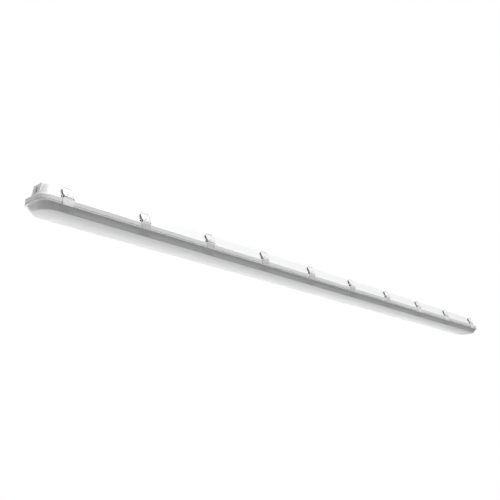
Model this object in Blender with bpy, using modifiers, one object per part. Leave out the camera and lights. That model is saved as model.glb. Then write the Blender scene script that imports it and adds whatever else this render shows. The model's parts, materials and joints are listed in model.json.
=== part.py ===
# Vapor tight linear light fixture: a moulded housing, a frosted lens on a
# gasket, twenty two-piece over-centre latches and the gear tray inside.
# Metres, +Z up, X along the fixture. The origin is the middle of the flat roof.

import math

import bmesh
import bpy
from mathutils import Matrix, Vector

# Overall
LENGTH = 2.400
FLANGE_WIDTH = 0.100
FLANGE_CORNER = 0.024
FIT_GAP = 0.0003
OVERRUN = 0.002
MERGE_DISTANCE = 0.00001
CORNER_STEPS = 6
ROUND_SIDES = 12

# Housing wall and roof
ROOF_HEIGHT = 0.0357
ROOF_INSET = 0.0175
ROOF_CORNER = 0.020
ROOF_EDGE = 0.0010
WALL_FOOT_INSET = 0.0028
END_WALL_FOOT_INSET = 0.0095
WALL_THICKNESS = 0.0026

# Flange band and the gasket channel under it
FLANGE_HEIGHT = 0.0140
FLANGE_EDGE = 0.0018
CHANNEL_LIP = 0.0014
CHANNEL_WIDTH = 0.0040
CHANNEL_DEPTH = 0.0030
INNER_LIP = 0.0016
INNER_LIP_HEIGHT = 0.0045

# Lens
SEAM = 0.0008
RIM_INSET = 0.0002
RIM_EDGE = 0.0004
RIM_THICKNESS = 0.0030
RIM_CORNER = 0.0238
LENS_WALL_INSET = 0.0026
LENS_DEPTH = 0.0190
LENS_SIDE_INSET = 0.0082
LENS_END_INSET = 0.0120
LENS_BOTTOM_CORNER = 0.018
LENS_EDGE = 0.0012
LENS_THICKNESS = 0.0020
LENS_CROWN = 0.0035
CROWN_END_RUN = 0.060
CROWN_OUTER_SHARES = (0.25, 0.55, 0.80)
CROWN_INNER_SHARES = (0.40, 0.80)

# End pads with their cable entries
PAD_WIDTH = 0.034
PAD_FOOT_RISE = 0.0032
PAD_FOOT_INSET = 0.0090
PAD_TOP_INSET = 0.0148
ENTRY_DROP_SHARE = 0.55
ENTRY_BORE_RADIUS = 0.0065
ENTRY_FLANGE_RADIUS = 0.0105
ENTRY_FLANGE_HEIGHT = 0.0014
ENTRY_LIP_RADIUS = 0.0052
ENTRY_NECK_LENGTH = 0.0068
CABLE_HOLE_RADIUS = 0.0040
PLUG_DOME = 0.0007

# Latches: the lever turns on the housing's ears, the hook on the lever
LATCHES_PER_SIDE = 10
LATCH_END_GAP = 0.075
LATCH_WIDTH = 0.031
LEVER_AXIS_INSET = 0.0012
LEVER_AXIS_RISE = 0.0027
HOOK_AXIS_RISE = 0.0050
HOOK_AXIS_SET_BACK = 0.0006
LEVER_TOP_DROP = 0.0032
LEVER_THICKNESS = 0.0018
LEVER_TAIL = 0.0047
LEVER_CORNER = 0.0045
KNUCKLE_RADIUS = 0.0023
SLOT_CLEARANCE = 0.0008
NOSE_RADIUS = 0.0016
CHEEK_WIDTH = 0.0050
TRUNNION_RADIUS = 0.0011
TRUNNION_REACH = 0.0026
PIN_RADIUS = 0.0009
PIN_REACH = 0.0022
PIN_SIDES = 6
TONGUE_WIDTH = 0.0050
TONGUE_SLOT_GAP = 0.0004
TONGUE_BACK = 0.0010
HOOK_CLEARANCE = 0.0004
HOOK_THICKNESS = 0.0025
HOOK_TOP_RISE = 0.0016
HOOK_TOP_SLOPE = 0.0012
HOOK_ROOT = 0.0012
TOE_REACH = 0.0025
TOE_THICKNESS = 0.0018
TOE_SLOPE = 0.0006
RIB_COUNT = 4
RIB_WIDTH = 0.0022
RIB_HEIGHT = 0.0005
RIB_PITCH = 0.0070
RIB_MARGIN = 0.0026
EAR_GAP = 0.0007
EAR_THICKNESS = 0.0022
EAR_RADIUS = 0.0026
EAR_BASE = 0.0070
BORE_CLEARANCE = 0.0004

# Gear tray, its screws and the housing's bosses
TRAY_END_GAP = 0.040
TRAY_SIDE_GAP = 0.003
TRAY_RISE = 0.0057
TRAY_SHEET = 0.0010
TRAY_LIP_HEIGHT = 0.0080
BOSS_COUNT = 4
BOSS_END_GAP = 0.120
BOSS_SIDE_INSET = 0.024
BOSS_RADIUS = 0.0045
BOSS_BORE_RADIUS = 0.0020
SCREW_RADIUS = 0.0016
SCREW_HEAD_RADIUS = 0.0038
SCREW_HEAD_HEIGHT = 0.0022
SCREW_LENGTH = 0.0110
SCREW_SIDES = 8

# Light boards, driver, terminal block and leads
BOARD_COUNT = 4
BOARD_END_GAP = 0.015
BOARD_WIDTH = 0.024
BOARD_THICKNESS = 0.0016
BOARD_GAP = 0.006
DRIVER_LENGTH = 0.360
DRIVER_WIDTH = 0.030
DRIVER_HEIGHT = 0.021
DRIVER_EDGE = 0.0015
DRIVER_PLACE_SHARE = 0.25
TERMINAL_LENGTH = 0.040
TERMINAL_WIDTH = 0.024
TERMINAL_HEIGHT = 0.016
TERMINAL_STEP = 0.006
TERMINAL_END_GAP = 0.080
LEAD_RADIUS = 0.0022
LEAD_BOW = 0.012
LEAD_POINTS = 9
LEAD_HOLE_RADIUS = 0.0045
LEAD_DROP_RUN = 0.030

# Levels worked out from the sizes above
HALF_WIDTH = FLANGE_WIDTH / 2
FLANGE_TOP = -ROOF_HEIGHT
FLANGE_BOTTOM = FLANGE_TOP - FLANGE_HEIGHT
PAD_HEIGHT = ROOF_HEIGHT - PAD_FOOT_RISE
ENTRY_DROP = PAD_HEIGHT * ENTRY_DROP_SHARE
RIM_TOP = FLANGE_BOTTOM - SEAM
RIM_BOTTOM = RIM_TOP - RIM_THICKNESS
LENS_CREASE = RIM_BOTTOM - LENS_DEPTH
ENTRY_RECESS = ENTRY_FLANGE_HEIGHT + 2 * FIT_GAP
CHANNEL_TOP = FLANGE_BOTTOM + CHANNEL_DEPTH
CHANNEL_INSET = CHANNEL_LIP + CHANNEL_WIDTH
CAVITY_INSET = CHANNEL_INSET + INNER_LIP
CEILING = -WALL_THICKNESS
TRAY_WIDTH = FLANGE_WIDTH - 2 * (CAVITY_INSET + TRAY_SIDE_GAP)
BOSS_OFFSET = HALF_WIDTH - BOSS_SIDE_INSET
TRAY_TOP = FLANGE_BOTTOM + TRAY_RISE
TRAY_BOTTOM = TRAY_TOP - TRAY_SHEET

# Spacings and places along the fixture that follow its length
LATCH_PITCH = (LENGTH - 2 * LATCH_END_GAP) / (LATCHES_PER_SIDE - 1)
BOSS_PITCH = (LENGTH - 2 * BOSS_END_GAP) / (BOSS_COUNT - 1)
TRAY_LENGTH = LENGTH - 2 * TRAY_END_GAP
BOARD_PITCH = (TRAY_LENGTH - 2 * BOARD_END_GAP + BOARD_GAP) / BOARD_COUNT
BOARD_LENGTH = BOARD_PITCH - BOARD_GAP
DRIVER_X = -LENGTH * DRIVER_PLACE_SHARE
TERMINAL_X = (TERMINAL_LENGTH - LENGTH) / 2 + TERMINAL_END_GAP

# The wall's lean: along it towards the roof, and square out of it
WALL_RUN = ROOF_INSET - WALL_FOOT_INSET
WALL_SLANT = math.hypot(WALL_RUN, ROOF_HEIGHT)
ALONG_WALL = Vector((-WALL_RUN / WALL_SLANT, ROOF_HEIGHT / WALL_SLANT))
OFF_WALL = Vector((ROOF_HEIGHT / WALL_SLANT, WALL_RUN / WALL_SLANT))

# Latch axes seen from the end: outward from the centre line, and up
LEVER_AXIS = Vector((HALF_WIDTH - LEVER_AXIS_INSET, FLANGE_TOP + LEVER_AXIS_RISE))
HOOK_AXIS = LEVER_AXIS + Vector((-HOOK_AXIS_SET_BACK, HOOK_AXIS_RISE))
SLOT_HALF = TONGUE_WIDTH / 2 + TONGUE_SLOT_GAP
EAR_INNER = LATCH_WIDTH / 2 + EAR_GAP
EAR_OUTER = EAR_INNER + EAR_THICKNESS

# A flat curve's outward, up and across turned to the fixture's -Y, Z and -X
END_VIEW = Matrix(((0, 0, -1, 0), (-1, 0, 0, 0), (0, 1, 0, 0), (0, 0, 0, 1)))
# A flat curve's along, up and across turned to the fixture's X, Z and -Y
SIDE_VIEW = Matrix(((1, 0, 0, 0), (0, 0, -1, 0), (0, 1, 0, 0), (0, 0, 0, 1)))
HALF_TURN = Matrix(((-1, 0, 0, 0), (0, -1, 0, 0), (0, 0, 1, 0), (0, 0, 0, 1)))


def clear_scene():
    for obj in list(bpy.data.objects):
        bpy.data.objects.remove(obj, do_unlink=True)


def make_collection(name):
    collection = bpy.data.collections.new(name)
    bpy.context.scene.collection.children.link(collection)
    return collection


def plastic(name, colour, roughness, metallic=0.0):
    material = bpy.data.materials.new(name)
    material.use_nodes = True
    shader = material.node_tree.nodes["Principled BSDF"]
    shader.inputs["Base Color"].default_value = (*colour, 1.0)
    shader.inputs["Roughness"].default_value = roughness
    shader.inputs["Metallic"].default_value = metallic
    return material


def place(name, mesh, collection, material, location=(0, 0, 0), turn=0.0):
    obj = bpy.data.objects.new(name, mesh)
    obj.location = location
    obj.rotation_euler = (0, 0, turn)
    if not mesh.materials:
        mesh.materials.append(material)
    collection.objects.link(obj)
    return obj


def make_cutter(name, mesh, location=(0, 0, 0)):
    obj = bpy.data.objects.new(name, mesh)
    obj.location = location
    obj.hide_render = True
    obj.display_type = "WIRE"
    cutters.objects.link(obj)
    return obj


def add_boolean(obj, other, operation):
    modifier = obj.modifiers.new(operation.lower() + "_" + other.name, "BOOLEAN")
    modifier.operation = operation
    modifier.solver = "EXACT"
    modifier.object = other


def bake(obj):
    """Return the object's evaluated mesh and remove the object."""
    bpy.context.view_layer.update()
    depsgraph = bpy.context.evaluated_depsgraph_get()
    mesh = bpy.data.meshes.new_from_object(obj.evaluated_get(depsgraph))
    mesh.transform(obj.matrix_world)
    bpy.data.objects.remove(obj, do_unlink=True)
    return mesh


def ring_points(side_inset, end_inset, radius, z):
    """One rounded rectangle round the fixture, anticlockwise from above."""
    points = []
    for corner in range(4):
        sign_x = (1, -1, -1, 1)[corner]
        sign_y = (1, 1, -1, -1)[corner]
        centre_x = sign_x * (LENGTH / 2 - end_inset - radius)
        centre_y = sign_y * (HALF_WIDTH - side_inset - radius)
        for step in range(CORNER_STEPS + 1):
            angle = (corner + step / CORNER_STEPS) * math.pi / 2
            points.append((centre_x + radius * math.cos(angle),
                           centre_y + radius * math.sin(angle), z))
    return points


def loft(name, levels, ring_closed=False):
    """Skin rounded rectangles in turn; a closed ring joins the last to the first."""
    bm = bmesh.new()
    rings = [[bm.verts.new(point) for point in ring_points(*level)] for level in levels]
    pairs = list(zip(rings, rings[1:]))
    if ring_closed:
        pairs.append((rings[-1], rings[0]))
    else:
        bm.faces.new(rings[0])
        bm.faces.new(list(reversed(rings[-1])))
    for ring, following in pairs:
        for index, vert in enumerate(ring):
            after = (index + 1) % len(ring)
            bm.faces.new((vert, following[index], following[after], ring[after]))
    mesh = bpy.data.meshes.new(name)
    bm.to_mesh(mesh)
    bm.free()
    mesh.shade_smooth()
    mesh.set_sharp_from_angle(angle=math.radians(35))
    return mesh


def outline_solid(name, outline, thickness, matrix):
    """A flat closed outline given a thickness, then turned into place."""
    curve = bpy.data.curves.new(name, "CURVE")
    curve.dimensions = "2D"
    curve.fill_mode = "BOTH"
    curve.extrude = thickness / 2
    spline = curve.splines.new("POLY")
    spline.points.add(len(outline) - 1)
    for point, place_on_curve in zip(spline.points, outline):
        point.co = (*place_on_curve, 0, 1)
    spline.use_cyclic_u = True
    obj = bpy.data.objects.new(name, curve)
    bpy.context.scene.collection.objects.link(obj)
    mesh = bake(obj)
    bm = bmesh.new()
    bm.from_mesh(mesh)
    bmesh.ops.remove_doubles(bm, verts=bm.verts, dist=MERGE_DISTANCE)
    bmesh.ops.transform(bm, matrix=matrix, verts=bm.verts)
    bmesh.ops.recalc_face_normals(bm, faces=bm.faces)
    bm.to_mesh(mesh)
    bm.free()
    return mesh


def rod(name, radius, length, matrix, sides=ROUND_SIDES):
    """A cylinder along its own Z, centred, then turned into place."""
    bm = bmesh.new()
    bmesh.ops.create_cone(bm, cap_ends=True, segments=sides, radius1=radius,
                          radius2=radius, depth=length, matrix=matrix)
    mesh = bpy.data.meshes.new(name)
    bm.to_mesh(mesh)
    bm.free()
    return mesh


def box(name, low, high):
    bm = bmesh.new()
    bmesh.ops.create_cube(bm, size=1)
    low = Vector(low)
    high = Vector(high)
    bmesh.ops.scale(bm, vec=high - low, verts=bm.verts)
    bmesh.ops.translate(bm, vec=(high + low) / 2, verts=bm.verts)
    mesh = bpy.data.meshes.new(name)
    bm.to_mesh(mesh)
    bm.free()
    return mesh


def join(name, meshes):
    """Several separate closed shapes in one mesh."""
    bm = bmesh.new()
    for mesh in meshes:
        bm.from_mesh(mesh)
    joined = bpy.data.meshes.new(name)
    bm.to_mesh(joined)
    bm.free()
    return joined


def arc(centre, radius, first, last, steps):
    """Points on an arc, angles in degrees from outward towards up."""
    points = []
    for step in range(steps + 1):
        angle = math.radians(first + (last - first) * step / steps)
        points.append(Vector((centre[0] + radius * math.cos(angle),
                              centre[1] + radius * math.sin(angle))))
    return points


def across_fixture(outward, up):
    """Turn a rod's Z along X at a place seen from the near side."""
    return Matrix.Translation((0, -outward, up)) @ Matrix.Rotation(math.pi / 2, 4, "Y")


def latch_places():
    """Middle along X and half turn of every latch, by the ending of its name."""
    first = -(LATCHES_PER_SIDE - 1) * LATCH_PITCH / 2
    places = {}
    for side, turn in (("front", 0.0), ("back", math.pi)):
        for number in range(LATCHES_PER_SIDE):
            places["%s_%02d" % (side, number + 1)] = (first + number * LATCH_PITCH, turn)
    return places


def wall_inset(z):
    """How far the leaning outer wall lies inside the flange at a height."""
    return WALL_FOOT_INSET + WALL_RUN * (z - FLANGE_TOP) / ROOF_HEIGHT


def end_wall_inset(z):
    """The same for the end walls, which stand further in and lean less."""
    run = ROOF_INSET - END_WALL_FOOT_INSET
    return END_WALL_FOOT_INSET + run * (z - FLANGE_TOP) / ROOF_HEIGHT


def corner_at(z):
    """The wall's corner radius, from the flange's at its foot to the roof's."""
    share = (z - FLANGE_TOP) / ROOF_HEIGHT
    foot = FLANGE_CORNER - WALL_FOOT_INSET
    return foot + (ROOF_CORNER - foot) * share


def pad_frame(end):
    """Matrix of an end pad's entry: origin on the pad's face, Z square out of it."""
    lean = math.atan2(PAD_TOP_INSET - PAD_FOOT_INSET, PAD_HEIGHT)
    inset = PAD_TOP_INSET - math.tan(lean) * ENTRY_DROP
    turn = Matrix.Rotation(end * (math.pi / 2 - lean), 4, "Y")
    return Matrix.Translation((end * (LENGTH / 2 - inset), 0, -ENTRY_DROP)) @ turn


def boss_places():
    """Middles of the screw bosses, which stand on alternate sides."""
    first = -(BOSS_COUNT - 1) * BOSS_PITCH / 2
    return [(first + n * BOSS_PITCH, BOSS_OFFSET * (-1) ** n) for n in range(BOSS_COUNT)]


def housing_shell():
    """Outside from the roof down, round the gasket channel, and up the inside."""
    inner_foot = FLANGE_TOP - WALL_THICKNESS / 2
    edge_z = -ROOF_EDGE
    channel_corner = FLANGE_CORNER - CHANNEL_LIP
    return loft("housing_shell", [
        (ROOF_INSET + ROOF_EDGE, ROOF_INSET + ROOF_EDGE, ROOF_CORNER - ROOF_EDGE, 0),
        (wall_inset(edge_z), end_wall_inset(edge_z), corner_at(edge_z), edge_z),
        (WALL_FOOT_INSET, END_WALL_FOOT_INSET, corner_at(FLANGE_TOP), FLANGE_TOP),
        (FLANGE_EDGE, FLANGE_EDGE, FLANGE_CORNER - FLANGE_EDGE, FLANGE_TOP),
        (0, 0, FLANGE_CORNER, FLANGE_TOP - FLANGE_EDGE),
        (0, 0, FLANGE_CORNER, FLANGE_BOTTOM),
        (CHANNEL_LIP, CHANNEL_LIP, channel_corner, FLANGE_BOTTOM),
        (CHANNEL_LIP, CHANNEL_LIP, channel_corner, CHANNEL_TOP),
        (CHANNEL_INSET, CHANNEL_INSET, FLANGE_CORNER - CHANNEL_INSET, CHANNEL_TOP),
        (CHANNEL_INSET, CHANNEL_INSET, FLANGE_CORNER - CHANNEL_INSET, FLANGE_BOTTOM),
        (CAVITY_INSET, CAVITY_INSET, FLANGE_CORNER - CAVITY_INSET, FLANGE_BOTTOM),
        (CAVITY_INSET, CAVITY_INSET, FLANGE_CORNER - CAVITY_INSET,
         FLANGE_BOTTOM + INNER_LIP_HEIGHT),
        (wall_inset(inner_foot) + WALL_THICKNESS, end_wall_inset(inner_foot) + WALL_THICKNESS,
         corner_at(inner_foot) - WALL_THICKNESS, inner_foot),
        (wall_inset(CEILING) + WALL_THICKNESS, end_wall_inset(CEILING) + WALL_THICKNESS,
         corner_at(CEILING) - WALL_THICKNESS, CEILING),
    ])


def end_pads():
    """Sloping flat pads on both end walls, sunk into the wall behind them."""
    foot = -PAD_HEIGHT
    outline = [
        (LENGTH / 2 - PAD_TOP_INSET, 0),
        (LENGTH / 2 - PAD_FOOT_INSET, foot),
        (LENGTH / 2 - end_wall_inset(foot) - WALL_THICKNESS / 2, foot),
        (LENGTH / 2 - ROOF_INSET - WALL_THICKNESS, 0),
    ]
    return join("end_pads", [
        outline_solid("right_pad", outline, PAD_WIDTH, SIDE_VIEW),
        outline_solid("left_pad", outline, PAD_WIDTH, HALF_TURN @ SIDE_VIEW),
    ])


def latch_ears():
    """Two ears for each lever, growing out of the wall foot and the flange."""
    base = HALF_WIDTH - EAR_BASE
    nose = arc(LEVER_AXIS, EAR_RADIUS, -75, 100, 4)
    outline = [(base, FLANGE_TOP - FLANGE_EDGE), (nose[0][0], FLANGE_TOP - FLANGE_EDGE)]
    outline += nose
    outline += [(base, LEVER_AXIS[1] + EAR_RADIUS + FLANGE_EDGE)]
    ear = outline_solid("ear", outline, EAR_THICKNESS, END_VIEW)
    ears = []
    for x, turn in latch_places().values():
        for side in (-1, 1):
            copy = ear.copy()
            middle = side * (EAR_INNER + EAR_OUTER) / 2
            copy.transform(Matrix.Translation((x, 0, 0)) @ Matrix.Rotation(turn, 4, "Z")
                           @ Matrix.Translation((middle, 0, 0)))
            ears.append(copy)
    return join("latch_ears", ears)


def ear_bores():
    """One rod for each lever, cutting the bores of its two ears."""
    radius = TRUNNION_RADIUS + BORE_CLEARANCE
    bore = rod("ear_bore", radius, 2 * (EAR_OUTER + OVERRUN),
               across_fixture(*LEVER_AXIS), PIN_SIDES)
    bores = []
    for x, turn in latch_places().values():
        copy = bore.copy()
        copy.transform(Matrix.Translation((x, 0, 0)) @ Matrix.Rotation(turn, 4, "Z"))
        bores.append(copy)
    return join("ear_bores", bores)


def boss_rods(name, radius, bottom, top):
    rods = []
    for x, y in boss_places():
        centre = Matrix.Translation((x, y, (bottom + top) / 2))
        rods.append(rod(name, radius, top - bottom, centre))
    return join(name, rods)


def build_housing(material):
    housing = place("housing", housing_shell(), parts, material)
    pads = make_cutter("end_pad_solids", end_pads())
    ears = make_cutter("ear_solids", latch_ears())
    boss_bottom = TRAY_TOP + FIT_GAP
    bosses = make_cutter("boss_solids", boss_rods("boss", BOSS_RADIUS, boss_bottom,
                                                  CEILING + WALL_THICKNESS / 2))
    bore_top = TRAY_BOTTOM + SCREW_LENGTH + FIT_GAP
    boss_bores = make_cutter("boss_bores", boss_rods("boss_bore", BOSS_BORE_RADIUS,
                                                     boss_bottom - OVERRUN, bore_top))
    entries = join("entry_bores", [
        rod("entry_bore", ENTRY_BORE_RADIUS, 2 * (ENTRY_NECK_LENGTH + OVERRUN), pad_frame(end))
        for end in (-1, 1)
    ])
    recesses = join("entry_recesses", [
        rod("entry_recess", ENTRY_FLANGE_RADIUS + FIT_GAP, 2 * ENTRY_RECESS, pad_frame(end))
        for end in (-1, 1)
    ])
    for solids in (pads, ears, bosses):
        add_boolean(housing, solids, "UNION")
    for cut in (make_cutter("ear_bore_rods", ear_bores()), boss_bores,
                make_cutter("entry_bore_rods", entries),
                make_cutter("entry_recess_rods", recesses)):
        add_boolean(housing, cut, "DIFFERENCE")


def build_gasket(material):
    """The foamed seal in the housing's channel, which stands on the lens rim."""
    outer = CHANNEL_LIP + FIT_GAP
    inner = CHANNEL_INSET - FIT_GAP
    top = CHANNEL_TOP - FIT_GAP
    bottom = RIM_TOP + FIT_GAP
    mesh = loft("gasket", [
        (outer, outer, FLANGE_CORNER - outer, top),
        (outer, outer, FLANGE_CORNER - outer, bottom),
        (inner, inner, FLANGE_CORNER - inner, bottom),
        (inner, inner, FLANGE_CORNER - inner, top),
    ], ring_closed=True)
    place("gasket", mesh, parts, material)


def crown_ring(share, edge_z):
    """A ring of the lens's pillowed bottom: share 0 is its edge, 1 its middle."""
    side = LENS_SIDE_INSET + (HALF_WIDTH - LENS_SIDE_INSET) * share
    end = LENS_END_INSET + CROWN_END_RUN * share
    depth = LENS_CROWN * (1 - (1 - share) ** 2)
    return (side, end, LENS_BOTTOM_CORNER * (1 - share), edge_z - depth)


def build_lens(material):
    """A shallow tray with leaning walls, a crowned bottom and a rim that the hooks pull on."""
    rim_inner = CHANNEL_INSET
    floor = LENS_CREASE + LENS_THICKNESS
    wall_corner = RIM_CORNER - LENS_WALL_INSET
    inner_corner = LENS_BOTTOM_CORNER - LENS_THICKNESS
    levels = [crown_ring(share, floor) for share in reversed(CROWN_INNER_SHARES)]
    levels += [
        (LENS_SIDE_INSET + LENS_THICKNESS, LENS_END_INSET + LENS_THICKNESS, inner_corner, floor),
        (rim_inner, rim_inner, RIM_CORNER - rim_inner, RIM_BOTTOM),
        (rim_inner, rim_inner, RIM_CORNER - rim_inner, RIM_TOP),
        (RIM_INSET + RIM_EDGE, RIM_INSET + RIM_EDGE, RIM_CORNER - RIM_EDGE, RIM_TOP),
        (RIM_INSET, RIM_INSET, RIM_CORNER, RIM_TOP - RIM_EDGE),
        (RIM_INSET, RIM_INSET, RIM_CORNER, RIM_BOTTOM + RIM_EDGE),
        (RIM_INSET + RIM_EDGE, RIM_INSET + RIM_EDGE, RIM_CORNER - RIM_EDGE, RIM_BOTTOM),
        (LENS_WALL_INSET, LENS_WALL_INSET, wall_corner, RIM_BOTTOM),
        (LENS_SIDE_INSET - LENS_EDGE / 2, LENS_END_INSET - LENS_EDGE / 2,
         LENS_BOTTOM_CORNER + LENS_EDGE / 2, LENS_CREASE + LENS_EDGE),
        (LENS_SIDE_INSET + LENS_EDGE, LENS_END_INSET + LENS_EDGE, LENS_BOTTOM_CORNER, LENS_CREASE),
    ]
    levels += [crown_ring(share, LENS_CREASE) for share in CROWN_OUTER_SHARES]
    place("lens", loft("lens", levels), parts, material)


def lever_plate():
    """The lever's flat plate, leaning as the wall does, slotted for the tongue."""
    half = LATCH_WIDTH / 2
    top_z = -LEVER_TOP_DROP
    reach = (top_z - HOOK_AXIS[1] - KNUCKLE_RADIUS * OFF_WALL[1]) / ALONG_WALL[1]
    slot_top = KNUCKLE_RADIUS + SLOT_CLEARANCE
    middle = half - LEVER_CORNER
    outline = [Vector((-SLOT_HALF, slot_top)), Vector((-SLOT_HALF, -LEVER_TAIL)),
               Vector((-half, -LEVER_TAIL))]
    outline += arc((-middle, reach - LEVER_CORNER), LEVER_CORNER, 180, 90, 3)
    outline += arc((middle, reach - LEVER_CORNER), LEVER_CORNER, 90, 0, 3)
    outline += [Vector((half, -LEVER_TAIL)), Vector((SLOT_HALF, -LEVER_TAIL)),
                Vector((SLOT_HALF, slot_top))]
    offset = KNUCKLE_RADIUS - LEVER_THICKNESS / 2
    turned = Matrix((
        (1, 0, 0, 0),
        (0, -ALONG_WALL[0], -OFF_WALL[0], 0),
        (0, ALONG_WALL[1], OFF_WALL[1], 0),
        (0, 0, 0, 1),
    ))
    centre = HOOK_AXIS - LEVER_AXIS
    matrix = (Matrix.Translation((0, -centre[0], centre[1])) @ turned
              @ Matrix.Translation((0, 0, offset)))
    return outline_solid("lever_plate", outline, LEVER_THICKNESS, matrix)


def lever_cheeks():
    """Two cheeks behind the plate that carry the trunnions and the hook's pin."""
    centre = HOOK_AXIS - LEVER_AXIS
    face = KNUCKLE_RADIUS - LEVER_THICKNESS / 2
    back = math.degrees(math.atan2(-OFF_WALL[1], -OFF_WALL[0])) % 360
    outline = arc((0, 0), NOSE_RADIUS, back, 350, 2)
    outline.append(centre + OFF_WALL * face - ALONG_WALL * (LEVER_TAIL - TRUNNION_RADIUS))
    outline.append(centre + OFF_WALL * face + ALONG_WALL * KNUCKLE_RADIUS)
    outline += arc(centre, KNUCKLE_RADIUS - FIT_GAP, back - 90, back, 2)
    cheeks = []
    for side in (-1, 1):
        middle = side * (SLOT_HALF + CHEEK_WIDTH / 2)
        shift = Matrix.Translation((middle, 0, 0))
        cheeks.append(outline_solid("cheek", outline, CHEEK_WIDTH, shift @ END_VIEW))
    return join("lever_cheeks", cheeks)


def lever_mesh():
    """Plate, cheeks and trunnions in one moulding, bored for the hook's pin."""
    work = place("lever_work", lever_plate(), parts, None)
    cheeks = make_cutter("lever_cheek_solids", lever_cheeks())
    inner = SLOT_HALF + CHEEK_WIDTH / 2
    outer = LATCH_WIDTH / 2 + TRUNNION_REACH
    stubs = []
    for side in (-1, 1):
        shift = Matrix.Translation((side * (inner + outer) / 2, 0, 0))
        stubs.append(rod("stub", TRUNNION_RADIUS, outer - inner,
                         shift @ across_fixture(0, 0), PIN_SIDES))
    trunnions = make_cutter("trunnion_solids", join("trunnions", stubs))
    centre = HOOK_AXIS - LEVER_AXIS
    bore_length = 2 * (SLOT_HALF + PIN_REACH)
    bore = make_cutter("pin_bore", rod("pin_bore", PIN_RADIUS + BORE_CLEARANCE, bore_length,
                                       across_fixture(*centre), PIN_SIDES))
    add_boolean(work, cheeks, "UNION")
    add_boolean(work, trunnions, "UNION")
    add_boolean(work, bore, "DIFFERENCE")
    return bake(work)


def hook_plate():
    """The hook's plate over the flange, with the toe that pulls the lens rim up."""
    inner = HALF_WIDTH + HOOK_CLEARANCE
    outer = inner + HOOK_THICKNESS
    top = FLANGE_TOP + HOOK_TOP_RISE
    toe_top = RIM_BOTTOM - FIT_GAP
    toe_bottom = toe_top - TOE_THICKNESS
    points = [
        (inner, top), (outer, top + HOOK_TOP_SLOPE), (outer, toe_bottom + TOE_SLOPE),
        (outer - TOE_SLOPE, toe_bottom), (inner - TOE_REACH, toe_bottom + TOE_SLOPE),
        (inner - TOE_REACH, toe_top), (inner, toe_top),
    ]
    outline = [Vector(point) - HOOK_AXIS for point in points]
    return outline_solid("hook_plate", outline, LATCH_WIDTH, END_VIEW)


def hook_tongue():
    """The tongue from the hook's plate up to its knuckle, flush with the lever."""
    inner = HALF_WIDTH + HOOK_CLEARANCE
    top = FLANGE_TOP + HOOK_TOP_RISE
    outer = inner + HOOK_THICKNESS
    front = math.degrees(math.atan2(OFF_WALL[1], OFF_WALL[0]))
    lower = Vector((outer, top)) - HOOK_AXIS
    back = -OFF_WALL * TONGUE_BACK - ALONG_WALL * KNUCKLE_RADIUS
    outline = [Vector((inner + HOOK_THICKNESS / 2, top - HOOK_ROOT)) - HOOK_AXIS, lower]
    outline += [OFF_WALL * KNUCKLE_RADIUS - ALONG_WALL * (LEVER_TAIL + TRUNNION_RADIUS)]
    outline += arc((0, 0), KNUCKLE_RADIUS, front, front + 230, 5)
    outline += [back, Vector((inner, top - HOOK_ROOT)) - HOOK_AXIS]
    return outline_solid("hook_tongue", outline, TONGUE_WIDTH, END_VIEW)


def hook_ribs():
    """Upright grip ribs on the hook's face."""
    outer = HALF_WIDTH + HOOK_CLEARANCE + HOOK_THICKNESS - HOOK_AXIS[0]
    low = RIM_BOTTOM - HOOK_AXIS[1] + RIB_MARGIN / 2
    high = FLANGE_TOP - HOOK_AXIS[1] - RIB_MARGIN / 2
    ribs = []
    for number in range(RIB_COUNT):
        x = (number - (RIB_COUNT - 1) / 2) * RIB_PITCH
        ribs.append(box("rib", (x - RIB_WIDTH / 2, -outer - RIB_HEIGHT, low),
                        (x + RIB_WIDTH / 2, -outer + RIB_HEIGHT, high)))
    return join("hook_ribs", ribs)


def hook_mesh():
    """Plate, tongue, pin and ribs in one moulding."""
    work = place("hook_work", hook_plate(), parts, None)
    tongue = make_cutter("tongue_solid", hook_tongue())
    pin_length = TONGUE_WIDTH + 2 * (TONGUE_SLOT_GAP + PIN_REACH - FIT_GAP)
    pin = make_cutter("pin_solid", rod("pin", PIN_RADIUS, pin_length,
                                       across_fixture(0, 0), PIN_SIDES))
    ribs = make_cutter("rib_solids", hook_ribs())
    for solid in (tongue, pin, ribs):
        add_boolean(work, solid, "UNION")
    return bake(work)


def build_latches(lever_material, hook_material):
    lever = lever_mesh()
    hook = hook_mesh()
    lever.materials.clear()
    hook.materials.clear()
    for suffix, (x, turn) in latch_places().items():
        sign = -1 if turn == 0 else 1
        place("latch_lever_" + suffix, lever, parts, lever_material,
              (x, sign * LEVER_AXIS[0], LEVER_AXIS[1]), turn)
        place("latch_hook_" + suffix, hook, parts, hook_material,
              (x, sign * HOOK_AXIS[0], HOOK_AXIS[1]), turn)


def turned_entry(name, profile, end, material):
    """A turned piece on an end pad: profile of radius and height, top first."""
    mesh = bpy.data.meshes.new(name)
    mesh.from_pydata([(radius, 0, height) for radius, height in profile],
                     [(n, n + 1) for n in range(len(profile) - 1)], [])
    piece = place(name, mesh, parts, material)
    piece.matrix_world = pad_frame(end)
    screw = piece.modifiers.new("turn", "SCREW")
    screw.steps = ROUND_SIDES
    screw.render_steps = ROUND_SIDES
    screw.use_merge_vertices = True
    screw.merge_threshold = MERGE_DISTANCE


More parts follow.
